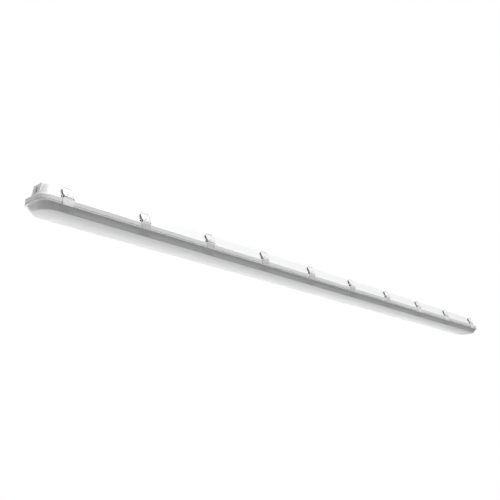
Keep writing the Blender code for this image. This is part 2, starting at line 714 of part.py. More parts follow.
def build_entry_bush(material):
    """Rubber bush in the near pad, with the supply cable's hole."""
    neck = ENTRY_BORE_RADIUS - FIT_GAP
    top = -FIT_GAP
    seat = top - ENTRY_FLANGE_HEIGHT
    turned_entry("entry_bush", [
        (CABLE_HOLE_RADIUS, top - PLUG_DOME), (ENTRY_LIP_RADIUS, top - PLUG_DOME),
        (ENTRY_LIP_RADIUS + PLUG_DOME, top), (ENTRY_FLANGE_RADIUS - PLUG_DOME, top),
        (ENTRY_FLANGE_RADIUS, top - PLUG_DOME), (ENTRY_FLANGE_RADIUS, seat), (neck, seat),
        (neck, -ENTRY_NECK_LENGTH), (CABLE_HOLE_RADIUS, -ENTRY_NECK_LENGTH),
        (CABLE_HOLE_RADIUS, top - PLUG_DOME),
    ], -1, material)


def build_end_plug(material):
    """Blanking plug in the far pad."""
    neck = ENTRY_BORE_RADIUS - FIT_GAP
    top = -FIT_GAP
    seat = top - ENTRY_FLANGE_HEIGHT
    turned_entry("end_plug", [
        (0, top), (ENTRY_FLANGE_RADIUS - PLUG_DOME, top),
        (ENTRY_FLANGE_RADIUS, top - PLUG_DOME), (ENTRY_FLANGE_RADIUS, seat), (neck, seat),
        (neck, -ENTRY_NECK_LENGTH), (0, -ENTRY_NECK_LENGTH),
    ], 1, material)


def lead_hole_x():
    """Where the driver's output lead drops through the tray."""
    return DRIVER_X + DRIVER_LENGTH / 2 + LEAD_DROP_RUN


def build_tray(material):
    """Folded sheet tray: a flat web with a lip up each long side."""
    half = TRAY_WIDTH / 2
    outline = [
        (-half, TRAY_BOTTOM), (half, TRAY_BOTTOM), (half, TRAY_TOP + TRAY_LIP_HEIGHT),
        (half - TRAY_SHEET, TRAY_TOP + TRAY_LIP_HEIGHT), (half - TRAY_SHEET, TRAY_TOP),
        (TRAY_SHEET - half, TRAY_TOP), (TRAY_SHEET - half, TRAY_TOP + TRAY_LIP_HEIGHT),
        (-half, TRAY_TOP + TRAY_LIP_HEIGHT),
    ]
    tray = place("gear_tray", outline_solid("gear_tray", outline, TRAY_LENGTH, END_VIEW),
                 parts, material)
    low = TRAY_BOTTOM - OVERRUN
    high = TRAY_TOP + OVERRUN
    holes = boss_rods("tray_hole", SCREW_RADIUS + BORE_CLEARANCE, low, high)
    add_boolean(tray, make_cutter("tray_holes", holes), "DIFFERENCE")
    drop = rod("lead_hole", LEAD_HOLE_RADIUS, high - low,
               Matrix.Translation((lead_hole_x(), 0, (low + high) / 2)))
    add_boolean(tray, make_cutter("lead_hole_rod", drop), "DIFFERENCE")


def build_tray_screws(material):
    """Pan head screws up through the tray into the housing's bosses."""
    head_top = TRAY_BOTTOM - FIT_GAP
    for number, (x, y) in enumerate(boss_places(), 1):
        shank_top = TRAY_BOTTOM + SCREW_LENGTH
        head_bottom = head_top - SCREW_HEAD_HEIGHT
        profile = [(0, shank_top), (SCREW_RADIUS, shank_top - SCREW_RADIUS),
                   (SCREW_RADIUS, head_top), (SCREW_HEAD_RADIUS, head_top),
                   (SCREW_HEAD_RADIUS, head_top - SCREW_HEAD_HEIGHT / 2),
                   (SCREW_HEAD_RADIUS / 2, head_bottom), (0, head_bottom)]
        mesh = bpy.data.meshes.new("tray_screw")
        mesh.from_pydata([(radius, 0, z) for radius, z in profile],
                         [(n, n + 1) for n in range(len(profile) - 1)], [])
        piece = place("tray_screw_%d" % number, mesh, parts, material, (x, y, 0))
        screw = piece.modifiers.new("turn", "SCREW")
        screw.steps = SCREW_SIDES
        screw.render_steps = SCREW_SIDES
        screw.use_merge_vertices = True
        screw.merge_threshold = MERGE_DISTANCE


def build_boards(material):
    """Light boards end to end under the tray."""
    top = TRAY_BOTTOM - FIT_GAP
    half = BOARD_WIDTH / 2
    for number in range(BOARD_COUNT):
        middle = (number - (BOARD_COUNT - 1) / 2) * BOARD_PITCH
        low = (middle - BOARD_LENGTH / 2, -half, top - BOARD_THICKNESS)
        high = (middle + BOARD_LENGTH / 2, half, top)
        mesh = box("led_board", low, high)
        place("led_board_%d" % (number + 1), mesh, parts, material)


def build_driver(material):
    """The sealed driver on the tray."""
    seat = TRAY_TOP + FIT_GAP
    low = (DRIVER_X - DRIVER_LENGTH / 2, -DRIVER_WIDTH / 2, seat)
    high = (DRIVER_X + DRIVER_LENGTH / 2, DRIVER_WIDTH / 2, seat + DRIVER_HEIGHT)
    driver = place("driver", box("driver", low, high), parts, material)
    bevel = driver.modifiers.new("edges", "BEVEL")
    bevel.width = DRIVER_EDGE
    bevel.segments = 1


def build_terminal_block(material):
    """Stepped push-in block where the supply comes in."""
    seat = TRAY_TOP + FIT_GAP
    half = TERMINAL_LENGTH / 2
    top = seat + TERMINAL_HEIGHT
    outline = [
        (-half, seat), (half, seat), (half, top - TERMINAL_STEP),
        (half - TERMINAL_STEP, top), (TERMINAL_STEP - half, top), (-half, top - TERMINAL_STEP),
    ]
    side_view = Matrix.Translation((TERMINAL_X, 0, 0)) @ Matrix.Rotation(math.pi / 2, 4, "X")
    mesh = outline_solid("terminal_block", outline, TERMINAL_WIDTH, side_view)
    place("terminal_block", mesh, parts, material)


def lead(name, points, material):
    """A sheathed lead along a run of points."""
    curve = bpy.data.curves.new(name, "CURVE")
    curve.dimensions = "3D"
    curve.bevel_depth = LEAD_RADIUS
    curve.bevel_resolution = 2
    curve.use_fill_caps = True
    spline = curve.splines.new("POLY")
    spline.points.add(len(points) - 1)
    for point, where in zip(spline.points, points):
        point.co = (*where, 1)
    curve.materials.append(material)
    obj = bpy.data.objects.new(name, curve)
    parts.objects.link(obj)


def bowed_run(start_x, end_x):
    """Points of a lead that lies on the tray and bows gently sideways."""
    z = TRAY_TOP + FIT_GAP + LEAD_RADIUS
    points = []
    for step in range(LEAD_POINTS):
        share = step / (LEAD_POINTS - 1)
        x = start_x + (end_x - start_x) * share
        points.append((x, LEAD_BOW * math.sin(math.pi * share) ** 2, z))
    return points


def build_leads(material):
    """Supply to the driver, and its output, which drops through the tray to a board."""
    end = DRIVER_LENGTH / 2 + FIT_GAP
    terminal_end = TERMINAL_X + TERMINAL_LENGTH / 2 + FIT_GAP
    lead("lead_supply", bowed_run(terminal_end, DRIVER_X - end), material)
    start = DRIVER_X + end
    foot = TRAY_BOTTOM
    height = TRAY_TOP + DRIVER_HEIGHT / 2
    points = []
    for step in range(LEAD_POINTS):
        angle = step / (LEAD_POINTS - 1) * math.pi / 2
        points.append((start + (lead_hole_x() - start) * math.sin(angle), 0,
                       foot + LEAD_RADIUS + (height - foot - LEAD_RADIUS) * math.cos(angle)))
    points.insert(0, (start, 0, height))
    points[1] = (start + LEAD_RADIUS, 0, height)
    points.append((lead_hole_x(), 0, foot))
    lead("lead_output", points, material)


clear_scene()
parts = make_collection("vapor_tight_light_fixture")
cutters = make_collection("cutters")

white = plastic("white_polycarbonate", (0.86, 0.87, 0.87), 0.38)
frosted = plastic("frosted_polycarbonate", (0.80, 0.81, 0.81), 0.45)
latch_white = plastic("latch_white", (0.85, 0.85, 0.84), 0.35)
latch_grey = plastic("latch_grey", (0.60, 0.59, 0.58), 0.45)
rubber = plastic("black_foam", (0.03, 0.03, 0.03), 0.85)
entry_grey = plastic("entry_grey", (0.55, 0.55, 0.55), 0.60)
sheet = plastic("white_sheet", (0.82, 0.82, 0.82), 0.40)
zinc = plastic("zinc_steel", (0.70, 0.70, 0.72), 0.30, 1.0)
board_white = plastic("board_white", (0.88, 0.88, 0.86), 0.50)
driver_white = plastic("driver_case", (0.75, 0.75, 0.76), 0.45)
lead_white = plastic("lead_sheath", (0.70, 0.70, 0.70), 0.55)

build_housing(white)
build_gasket(rubber)
build_lens(frosted)
build_latches(latch_white, latch_grey)
build_entry_bush(entry_grey)
build_end_plug(entry_grey)
build_tray(sheet)
build_tray_screws(zinc)
build_boards(board_white)
build_driver(driver_white)
build_terminal_block(entry_grey)
build_leads(lead_white)
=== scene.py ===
import json
import math

import bmesh
import bpy
from mathutils import Matrix, Vector


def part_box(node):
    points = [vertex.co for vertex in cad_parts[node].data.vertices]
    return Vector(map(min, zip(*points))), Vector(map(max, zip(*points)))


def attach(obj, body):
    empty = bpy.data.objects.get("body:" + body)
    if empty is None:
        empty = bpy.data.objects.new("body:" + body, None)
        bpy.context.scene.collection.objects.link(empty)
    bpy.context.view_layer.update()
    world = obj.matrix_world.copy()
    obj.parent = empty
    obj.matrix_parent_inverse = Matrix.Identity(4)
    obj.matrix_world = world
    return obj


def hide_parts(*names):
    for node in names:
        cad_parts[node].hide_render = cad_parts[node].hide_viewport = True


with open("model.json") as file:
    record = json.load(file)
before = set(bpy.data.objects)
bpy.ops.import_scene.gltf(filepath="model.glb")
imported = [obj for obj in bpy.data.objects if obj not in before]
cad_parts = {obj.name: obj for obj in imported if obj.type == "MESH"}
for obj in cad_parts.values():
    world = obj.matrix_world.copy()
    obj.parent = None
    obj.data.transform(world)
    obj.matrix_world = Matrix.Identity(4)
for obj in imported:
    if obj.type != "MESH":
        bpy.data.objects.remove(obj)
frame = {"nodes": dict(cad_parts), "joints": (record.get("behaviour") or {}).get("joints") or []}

nodes = frame["nodes"]
joints = {joint["name"]: joint for joint in frame["joints"]}
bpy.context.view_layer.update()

# The studio
# The photograph's camera, a pale floor far under the fixture that is clear from
# below, a white backdrop, and soft lamps: a broad key above the near side, a
# long one behind that lights the lens from below, and a small one at the entry.

PHOTO_SIZE = 500
PHOTO_CENTRE = PHOTO_SIZE / 2
FOCAL_PIXELS = 683.5
LENGTH_VANISHING_X = 913.0
HORIZON_Y = 461.2
CAMERA_PLACE = (-1.9956, -1.4829, -0.6694)
SENSOR_WIDTH = 36.0

FLOOR_DROP = 2.60
FLOOR_HALF = 9.0
FLOOR_COLOUR = (0.60, 0.60, 0.60)
FLOOR_PALENESS = 0.7
AMBIENT = 0.11


def mesh_from(bm, name):
    """Write a finished bmesh to a new mesh."""
    mesh = bpy.data.meshes.new(name)
    bm.to_mesh(mesh)
    bm.free()
    return mesh


def photo_camera():
    """Turn the camera so that the fixture's length meets its vanishing point."""
    across = LENGTH_VANISHING_X - PHOTO_CENTRE
    down = HORIZON_Y - PHOTO_CENTRE
    depth_vanish = -(FOCAL_PIXELS ** 2 + down ** 2) / across
    length_axis = Vector((across, down, FOCAL_PIXELS)).normalized()
    depth_axis = Vector((depth_vanish, down, FOCAL_PIXELS)).normalized()
    up_axis = length_axis.cross(depth_axis)
    if up_axis.y > 0:
        up_axis.negate()
    right = Vector((length_axis.x, depth_axis.x, up_axis.x))
    up = -Vector((length_axis.y, depth_axis.y, up_axis.y))
    back = -Vector((length_axis.z, depth_axis.z, up_axis.z))
    data = bpy.data.cameras.new("photo_camera")
    data.sensor_width = SENSOR_WIDTH
    data.lens = FOCAL_PIXELS / PHOTO_SIZE * SENSOR_WIDTH
    camera = bpy.data.objects.new("photo_camera", data)
    turn = Matrix((right, up, back)).transposed().to_4x4()
    camera.matrix_world = Matrix.Translation(CAMERA_PLACE) @ turn
    bpy.context.scene.collection.objects.link(camera)
    bpy.context.scene.camera = camera


def white_to_camera(tree, surface, white_shader, output):
    """Mix a plain white over a shader for camera, glossy and transmitted rays."""
    path = tree.nodes.new("ShaderNodeLightPath")
    seen = tree.nodes.new("ShaderNodeMath")
    seen.operation = "MAXIMUM"
    seen_again = tree.nodes.new("ShaderNodeMath")
    seen_again.operation = "MAXIMUM"
    mix = tree.nodes.new("ShaderNodeMixShader")
    tree.links.new(path.outputs["Is Camera Ray"], seen.inputs[0])
    tree.links.new(path.outputs["Is Glossy Ray"], seen.inputs[1])
    tree.links.new(seen.outputs[0], seen_again.inputs[0])
    tree.links.new(path.outputs["Is Transmission Ray"], seen_again.inputs[1])
    tree.links.new(seen_again.outputs[0], mix.inputs["Fac"])
    tree.links.new(surface, mix.inputs[1])
    tree.links.new(white_shader, mix.inputs[2])
    tree.links.new(mix.outputs[0], output)


def studio_world():
    world = bpy.data.worlds.new("studio")
    bpy.context.scene.world = world
    world.use_nodes = True
    tree = world.node_tree
    ambient = tree.nodes["Background"]
    ambient.inputs["Color"].default_value = (1, 1, 1, 1)
    ambient.inputs["Strength"].default_value = AMBIENT
    white = tree.nodes.new("ShaderNodeBackground")
    white.inputs["Color"].default_value = (1, 1, 1, 1)
    white.inputs["Strength"].default_value = 1.0
    white_to_camera(tree, ambient.outputs[0], white.outputs[0],
                    tree.nodes["World Output"].inputs["Surface"])


def studio_floor():
    """A one-way floor, so that views from below aren't blocked."""
    bm = bmesh.new()
    bmesh.ops.create_grid(bm, x_segments=1, y_segments=1, size=FLOOR_HALF)
    mesh = mesh_from(bm, "studio_floor")
    floor = bpy.data.objects.new("studio_floor", mesh)
    floor.location.z = -FLOOR_DROP
    bpy.context.scene.collection.objects.link(floor)
    material = bpy.data.materials.new("pale_floor")
    material.use_nodes = True
    tree = material.node_tree
    shader = tree.nodes["Principled BSDF"]
    shader.inputs["Base Color"].default_value = (*FLOOR_COLOUR, 1)
    shader.inputs["Roughness"].default_value = 0.9
    glow = tree.nodes.new("ShaderNodeEmission")
    glow.inputs["Color"].default_value = (1, 1, 1, 1)
    glow.inputs["Strength"].default_value = 1.0
    pale = tree.nodes.new("ShaderNodeMixShader")
    pale.inputs["Fac"].default_value = FLOOR_PALENESS
    clear = tree.nodes.new("ShaderNodeBsdfTransparent")
    sides = tree.nodes.new("ShaderNodeNewGeometry")
    one_way = tree.nodes.new("ShaderNodeMixShader")
    tree.links.new(shader.outputs[0], pale.inputs[1])
    tree.links.new(glow.outputs[0], pale.inputs[2])
    white_to_camera(tree, shader.outputs[0], pale.outputs[0], one_way.inputs[1])
    tree.links.new(clear.outputs[0], one_way.inputs[2])
    tree.links.new(sides.outputs["Backfacing"], one_way.inputs["Fac"])
    tree.links.new(one_way.outputs[0], tree.nodes["Material Output"].inputs["Surface"])
    mesh.materials.append(material)


def soft_lamp(name, place, target, size, watts):
    data = bpy.data.lights.new(name, "AREA")
    data.shape = "RECTANGLE"
    data.size, data.size_y = size
    data.energy = watts
    lamp = bpy.data.objects.new(name, data)
    lamp.location = place
    lamp.rotation_euler = (Vector(target) - Vector(place)).to_track_quat("-Z", "Y").to_euler()
    lamp.visible_camera = False
    bpy.context.scene.collection.objects.link(lamp)


photo_camera()
studio_world()
studio_floor()
soft_lamp("key_lamp", place=(-0.3, -1.98, 4.45), target=(0, 0, 0),
          size=(5.0, 1.8), watts=318)
soft_lamp("under_lamp", place=(2.0, 3.1, -1.25), target=(2.0, 0, -0.05),
          size=(12.0, 1.2), watts=185)
soft_lamp("end_lamp", place=(-4.4, -2.4, 0.7), target=(-1.2, 0, -0.03),
          size=(2.0, 2.0), watts=16)

# The housing
# One moulding of white polycarbonate: flat roof, walls that lean in for draft,
# a flange band with the gasket channel under it, a sloping pad at each end, and
# an ear at each side of every lever with a low rest pad behind it.

BAND_CORNER = 0.029
WALL_CORNER = 0.032
ROOF_CORNER = 0.030
ROOF_EDGE = 0.0045
WALL_LEAN = 0.0147
WALL_FOOT = 0.0028
END_WALL_LEAN = 0.0080
END_WALL_FOOT = 0.0095
ROOF_HEIGHT = 0.0357
BAND_EDGE = 0.0018
WALL = 0.0026
GAP = 0.0003
WELD = 0.00001
RIM_SETBACK = 0.0002
CORNER_STEPS = 16
EDGE_STEPS = 5
EDGE_SHARE = 0.45
HOLD_REACH = 1.3
HOLD_SHARE = 0.49

housing_low, housing_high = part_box("housing")
lens_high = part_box("lens")[1]
HALF_LENGTH = housing_high.x
HALF_WIDTH = lens_high.y + RIM_SETBACK
BAND_TOP = housing_high.z - ROOF_HEIGHT
BAND_BOTTOM = housing_low.z


def moulded_material(name, colour, roughness, grain=0.00035, height=0.00002, shift=0.02):
    """Moulded plastic: a fine grain in the gloss and bump, and faint flow marks."""
    material = bpy.data.materials.new(name)
    material.use_nodes = True
    tree = material.node_tree
    shader = tree.nodes["Principled BSDF"]
    place = tree.nodes.new("ShaderNodeTexCoord")
    flow = tree.nodes.new("ShaderNodeTexNoise")
    flow.inputs["Scale"].default_value = 9.0
    flow.inputs["Detail"].default_value = 3.0
    tint = tree.nodes.new("ShaderNodeValToRGB")
    low = [max(0.0, part - shift) for part in colour]
    tint.color_ramp.elements[0].position = 0.3
    tint.color_ramp.elements[0].color = (*low, 1)
    tint.color_ramp.elements[1].position = 0.7
    tint.color_ramp.elements[1].color = (*colour, 1)
    fine = tree.nodes.new("ShaderNodeTexNoise")
    fine.inputs["Scale"].default_value = 1 / grain
    fine.inputs["Detail"].default_value = 2.0
    gloss = tree.nodes.new("ShaderNodeMapRange")
    gloss.inputs["To Min"].default_value = roughness - 0.05
    gloss.inputs["To Max"].default_value = roughness + 0.05
    bump = tree.nodes.new("ShaderNodeBump")
    bump.inputs["Strength"].default_value = 0.35
    bump.inputs["Distance"].default_value = height
    tree.links.new(place.outputs["Object"], flow.inputs["Vector"])
    tree.links.new(place.outputs["Object"], fine.inputs["Vector"])
    tree.links.new(flow.outputs["Fac"], tint.inputs["Fac"])
    tree.links.new(tint.outputs["Color"], shader.inputs["Base Color"])
    tree.links.new(fine.outputs["Fac"], gloss.inputs["Value"])
    tree.links.new(gloss.outputs["Result"], shader.inputs["Roughness"])
    tree.links.new(fine.outputs["Fac"], bump.inputs["Height"])
    tree.links.new(bump.outputs["Normal"], shader.inputs["Normal"])
    return material


def ring(side_inset, end_inset, radius, z):
    """A rounded rectangle round the fixture, anticlockwise from above."""
    points = []
    for corner in range(4):
        sign_x = (1, -1, -1, 1)[corner]
        sign_y = (1, 1, -1, -1)[corner]
        middle_x = sign_x * (HALF_LENGTH - end_inset - radius)
        middle_y = sign_y * (HALF_WIDTH - side_inset - radius)
        for step in range(CORNER_STEPS + 1):
            angle = (corner + step / CORNER_STEPS) * math.pi / 2
            points.append((middle_x + radius * math.cos(angle),
                           middle_y + radius * math.sin(angle), z))
    return points


def soften(levels, edges, closed=False):
    """Round each level of a wall section by its own edge size, with a holding ring."""
    count = len(levels)
    result = []
    for index, (level, edge) in enumerate(zip(levels, edges)):
        here = Vector(level)
        if not edge or (not closed and index in (0, count - 1)):
            result.append(here)
            continue
        before = Vector(levels[index - 1]) - here
        after = Vector(levels[(index + 1) % count]) - here
        span_before = math.hypot(before[0], before[3])
        span_after = math.hypot(after[0], after[3])
        reach = min(edge, EDGE_SHARE * span_before, EDGE_SHARE * span_after)
        first = here + before * (reach / span_before)
        last = here + after * (reach / span_after)
        result.append(here + before * min(HOLD_REACH * reach / span_before, HOLD_SHARE))
        for step in range(EDGE_STEPS + 1):
            t = step / EDGE_STEPS
            result.append(first * (1 - t) ** 2 + here * 2 * t * (1 - t) + last * t ** 2)
        result.append(here + after * min(HOLD_REACH * reach / span_after, HOLD_SHARE))
    return result


def skin(name, levels, closed=False):
    """Join rounded rectangles in turn into one closed body."""
    bm = bmesh.new()
    rings = [[bm.verts.new(point) for point in ring(*level)] for level in levels]
    pairs = list(zip(rings, rings[1:]))
    if closed:
        pairs.append((rings[-1], rings[0]))
    else:
        bm.faces.new(rings[0])
        bm.faces.new(list(reversed(rings[-1])))
    for one, other in pairs:
        for index, vert in enumerate(one):
            after = (index + 1) % len(one)
            bm.faces.new((vert, other[index], other[after], one[after]))
    return mesh_from(bm, name)


def smooth(mesh, degrees=32):
    mesh.shade_smooth()
    mesh.set_sharp_from_angle(angle=math.radians(degrees))


def show(name, mesh, material, body, slot, *replaced):
    """Put a finished mesh in the scene as a piece of the object."""
    mesh.materials.clear()
    mesh.materials.append(material)
    piece = bpy.data.objects.new(name, mesh)
    bpy.context.scene.collection.objects.link(piece)
    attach(piece, body)
    if replaced:
        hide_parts(*replaced)
    return piece


def drop(obj):
    """Remove a helper object that has served its turn."""
    bpy.data.objects.remove(obj, do_unlink=True)


def helper(name, mesh):
    obj = bpy.data.objects.new(name, mesh)
    bpy.context.scene.collection.objects.link(obj)
    return obj


def settled(obj):
    """The object's mesh with its modifiers applied; the object is removed."""
    bpy.context.view_layer.update()
    depsgraph = bpy.context.evaluated_depsgraph_get()
    mesh = bpy.data.meshes.new_from_object(obj.evaluated_get(depsgraph))
    drop(obj)
    return mesh


def combine(mesh, steps):
    """Unite with or cut by other closed meshes, in turn."""
    work = helper("work", mesh)
    others = []
    for operation, other_mesh in steps:
        other = helper("other", other_mesh)
        modifier = work.modifiers.new(operation, "BOOLEAN")
        modifier.operation = operation
        modifier.solver = "EXACT"
        modifier.object = other
        others.append(other)
    result = settled(work)
    for other in others:
        drop(other)
    return result


def plate(outline, thickness, matrix, edge=0.0, segments=3):
    """A flat outline given a thickness, its edges eased, turned into place."""
    curve = bpy.data.curves.new("outline", "CURVE")
    curve.dimensions = "2D"
    curve.fill_mode = "BOTH"
    curve.extrude = thickness / 2
    spline = curve.splines.new("POLY")
    spline.points.add(len(outline) - 1)
    for point, place in zip(spline.points, outline):
        point.co = (place[0], place[1], 0, 1)
    spline.use_cyclic_u = True
    mesh = settled(helper("outline", curve))
    bm = bmesh.new()
    bm.from_mesh(mesh)
    bmesh.ops.remove_doubles(bm, verts=bm.verts, dist=WELD)
    bmesh.ops.dissolve_limit(bm, angle_limit=0.01, verts=bm.verts, edges=bm.edges)
    bm.to_mesh(mesh)
    bm.free()
    if edge:
        work = helper("outline", mesh)
        bevel = work.modifiers.new("eased_edges", "BEVEL")
        bevel.width = edge
        bevel.segments = segments
        bevel.limit_method = "ANGLE"
        bevel.angle_limit = math.radians(50)
        mesh = settled(work)
    mesh.transform(matrix)
    if matrix.determinant() < 0:
        mesh.flip_normals()
    return mesh


def rod(radius, length, matrix, sides=24):
    bm = bmesh.new()
    bmesh.ops.create_cone(bm, cap_ends=True, segments=sides, radius1=radius,
                          radius2=radius, depth=length, matrix=matrix)
    return mesh_from(bm, "rod")


def block(sides, matrix):
    bm = bmesh.new()
    bmesh.ops.create_cube(bm, size=1, matrix=matrix @ Matrix.Diagonal((*sides, 1)))
    return mesh_from(bm, "block")


def gather(meshes):
    bm = bmesh.new()
    for mesh in meshes:
        bm.from_mesh(mesh)
    return mesh_from(bm, "gathered")


def arc(middle, radius, first, last, steps):
    """Points round a middle from the first angle to the last, in degrees."""
    points = []
    for step in range(steps + 1):
        angle = math.radians(first + (last - first) * step / steps)
        points.append(Vector((middle[0] + radius * math.cos(angle),
                              middle[1] + radius * math.sin(angle))))
    return points


def across(pivot):
    """A latch pivot's frame: Z runs along it."""
    return (Matrix.Translation((0, -pivot[0], pivot[1]))
            @ Matrix.Rotation(math.pi / 2, 4, "Y"))


# Turns an outline of a latch's end view, drawn outwards and upwards, into place.
END_VIEW = Matrix(((0, 0, -1, 0), (-1, 0, 0, 0), (0, 1, 0, 0), (0, 0, 0, 1)))

LEVER_PIVOT_INSET = 0.0012
LEVER_PIVOT_RISE = 0.0027
LEVER_PIVOT = Vector((HALF_WIDTH - LEVER_PIVOT_INSET, BAND_TOP + LEVER_PIVOT_RISE))
LATCH_WIDTH = 0.031
HOOK_PIVOT = LEVER_PIVOT + Vector((-0.0006, 0.0050))
WALL_SLANT = math.hypot(WALL_LEAN, ROOF_HEIGHT)
ALONG = Vector((-WALL_LEAN / WALL_SLANT, ROOF_HEIGHT / WALL_SLANT))
OFF = Vector((ROOF_HEIGHT / WALL_SLANT, WALL_LEAN / WALL_SLANT))
LEVER_FACE = Matrix((
    (1, 0, 0, 0),
    (0, -ALONG[0], -OFF[0], -HOOK_PIVOT[0]),
    (0, ALONG[1], OFF[1], HOOK_PIVOT[1]),
    (0, 0, 0, 1),
))
REST_MARGIN = 0.0039
REST_WIDTH = LATCH_WIDTH - 2 * REST_MARGIN
REST_FOOT = 0.0062
REST_TOP = 0.0200
REST_THICKNESS = 0.0048
REST_FACE = -0.0003
REST_EDGE = 0.0006
REST_LIFT = Matrix.Translation((0, 0, REST_FACE - REST_THICKNESS / 2))
EAR_PLAY = 0.0007
EAR_INNER = LATCH_WIDTH / 2 + EAR_PLAY
EAR_EDGE = 0.0003
EAR_THICKNESS = 0.0022
EAR_RADIUS = 0.0026
EAR_BASE = 0.0070
TRUNNION_BORE = 0.0015


def lean_inset(z):
    return WALL_FOOT + WALL_LEAN * (z - BAND_TOP) / ROOF_HEIGHT


def end_lean_inset(z):
    return END_WALL_FOOT + END_WALL_LEAN * (z - BAND_TOP) / ROOF_HEIGHT


def lean_corner(z):
    return WALL_CORNER + (ROOF_CORNER - WALL_CORNER) * (z - BAND_TOP) / ROOF_HEIGHT


def even(inset, z, corner=BAND_CORNER):
    """A level whose sides and ends stand in alike, with concentric corners."""
    return (inset, inset, corner - inset, z)


def leaning(z, thickness=0.0):
    return (lean_inset(z) + thickness, end_lean_inset(z) + thickness,
            lean_corner(z) - thickness, z)


def latch_frames():
    """Name, and the matrix from a near side latch at X = 0 to its own place."""
    frames = []
    for side, turn in (("front", 0.0), ("back", math.pi)):
        number = 1
        while "lever_turn_%s_%02d" % (side, number) in joints:
            name = "%s_%02d" % (side, number)
            x = joints["lever_turn_" + name]["pos_m"][0]
            matrix = Matrix.Translation((x, 0, 0)) @ Matrix.Rotation(turn, 4, "Z")
            frames.append((name, matrix))
            number += 1
    return frames


def pad_frame(end):
    """An end pad's entry: origin on the pad's face, Z square out of it."""
    lean = math.atan2(PAD_TOP_INSET - PAD_FOOT_INSET, PAD_HEIGHT)
    inset = PAD_TOP_INSET - math.tan(lean) * ENTRY_DROP
    turn = Matrix.Rotation(end * (math.pi / 2 - lean), 4, "Y")
    return Matrix.Translation((end * (HALF_LENGTH - inset), 0, -ENTRY_DROP)) @ turn


PAD_WIDTH = 0.036
PAD_HEIGHT = 0.0325
PAD_FOOT_INSET = 0.0090
PAD_TOP_INSET = 0.0148
PAD_EDGE = 0.0006
PAD_ROOT = 0.0050
ENTRY_DROP = 0.017875
ENTRY_BORE = 0.0065
ENTRY_DEPTH = 0.018
RECESS_RADIUS = 0.0108
RECESS_DEPTH = 0.0020


def pad_solid(end):
    foot = -PAD_HEIGHT
    outline = [
        (HALF_LENGTH - PAD_TOP_INSET, 0),
        (HALF_LENGTH - PAD_FOOT_INSET, foot),
        (HALF_LENGTH - end_lean_inset(foot) - PAD_ROOT, foot),
        (HALF_LENGTH - end_lean_inset(-ROOF_EDGE) - PAD_ROOT, -ROOF_EDGE),
        (HALF_LENGTH - end_lean_inset(0) - 2 * ROOF_EDGE, 0),
    ]
    turn = Matrix(((end, 0, 0, 0), (0, 0, -end, 0), (0, 1, 0, 0), (0, 0, 0, 1)))
    return plate(outline, PAD_WIDTH, turn, PAD_EDGE)


def ear_solids():
    base = HALF_WIDTH - EAR_BASE
    nose = arc(LEVER_PIVOT, EAR_RADIUS, -75, 100, 14)
    outline = [(base, BAND_TOP - BAND_EDGE), (nose[0][0], BAND_TOP - BAND_EDGE)]
    outline += nose
    outline += [(base, LEVER_PIVOT[1] + EAR_RADIUS + BAND_EDGE)]
    ears = []
    for name, matrix in latch_frames():
        for side in (-1, 1):
            shift = Matrix.Translation((side * (EAR_INNER + EAR_THICKNESS / 2), 0, 0))
            ears.append(plate(outline, EAR_THICKNESS, matrix @ shift @ END_VIEW, EAR_EDGE, 2))
    return gather(ears)


def ear_bores():
    length = 2 * (EAR_INNER + EAR_THICKNESS) + WALL
    return gather([rod(TRUNNION_BORE, length, matrix @ across(LEVER_PIVOT), 20)
                   for name, matrix in latch_frames()])


def rest_pads():
    """Low raised pads on the wall, which the closed levers lie close over."""
    half = REST_WIDTH / 2
    outline = [Vector((-half, REST_FOOT)), Vector((-half, REST_TOP)),
               Vector((half, REST_TOP)), Vector((half, REST_FOOT))]
    pads = []
    for name, matrix in latch_frames():
        place = matrix @ LEVER_FACE @ REST_LIFT
        pads.append(plate(outline, REST_THICKNESS, place, REST_EDGE, 3))
    return gather(pads)


BOSS_RADIUS = 0.0045
BOSS_BORE = 0.0020
BOSS_BORE_DEPTH = 0.0103
SCREW_REACH = 0.0100


def boss_solids(radius, bottom, top, sides):
    """Upright rods at the tray screws, for the bosses or for their bores."""
    rods = []
    for name in nodes:
        if name.startswith("tray_screw"):
            low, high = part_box(name)
            middle = (low + high) / 2
            place = Matrix.Translation((middle.x, middle.y, (bottom + top) / 2))
            rods.append(rod(radius, top - bottom, place, sides))
    return gather(rods)


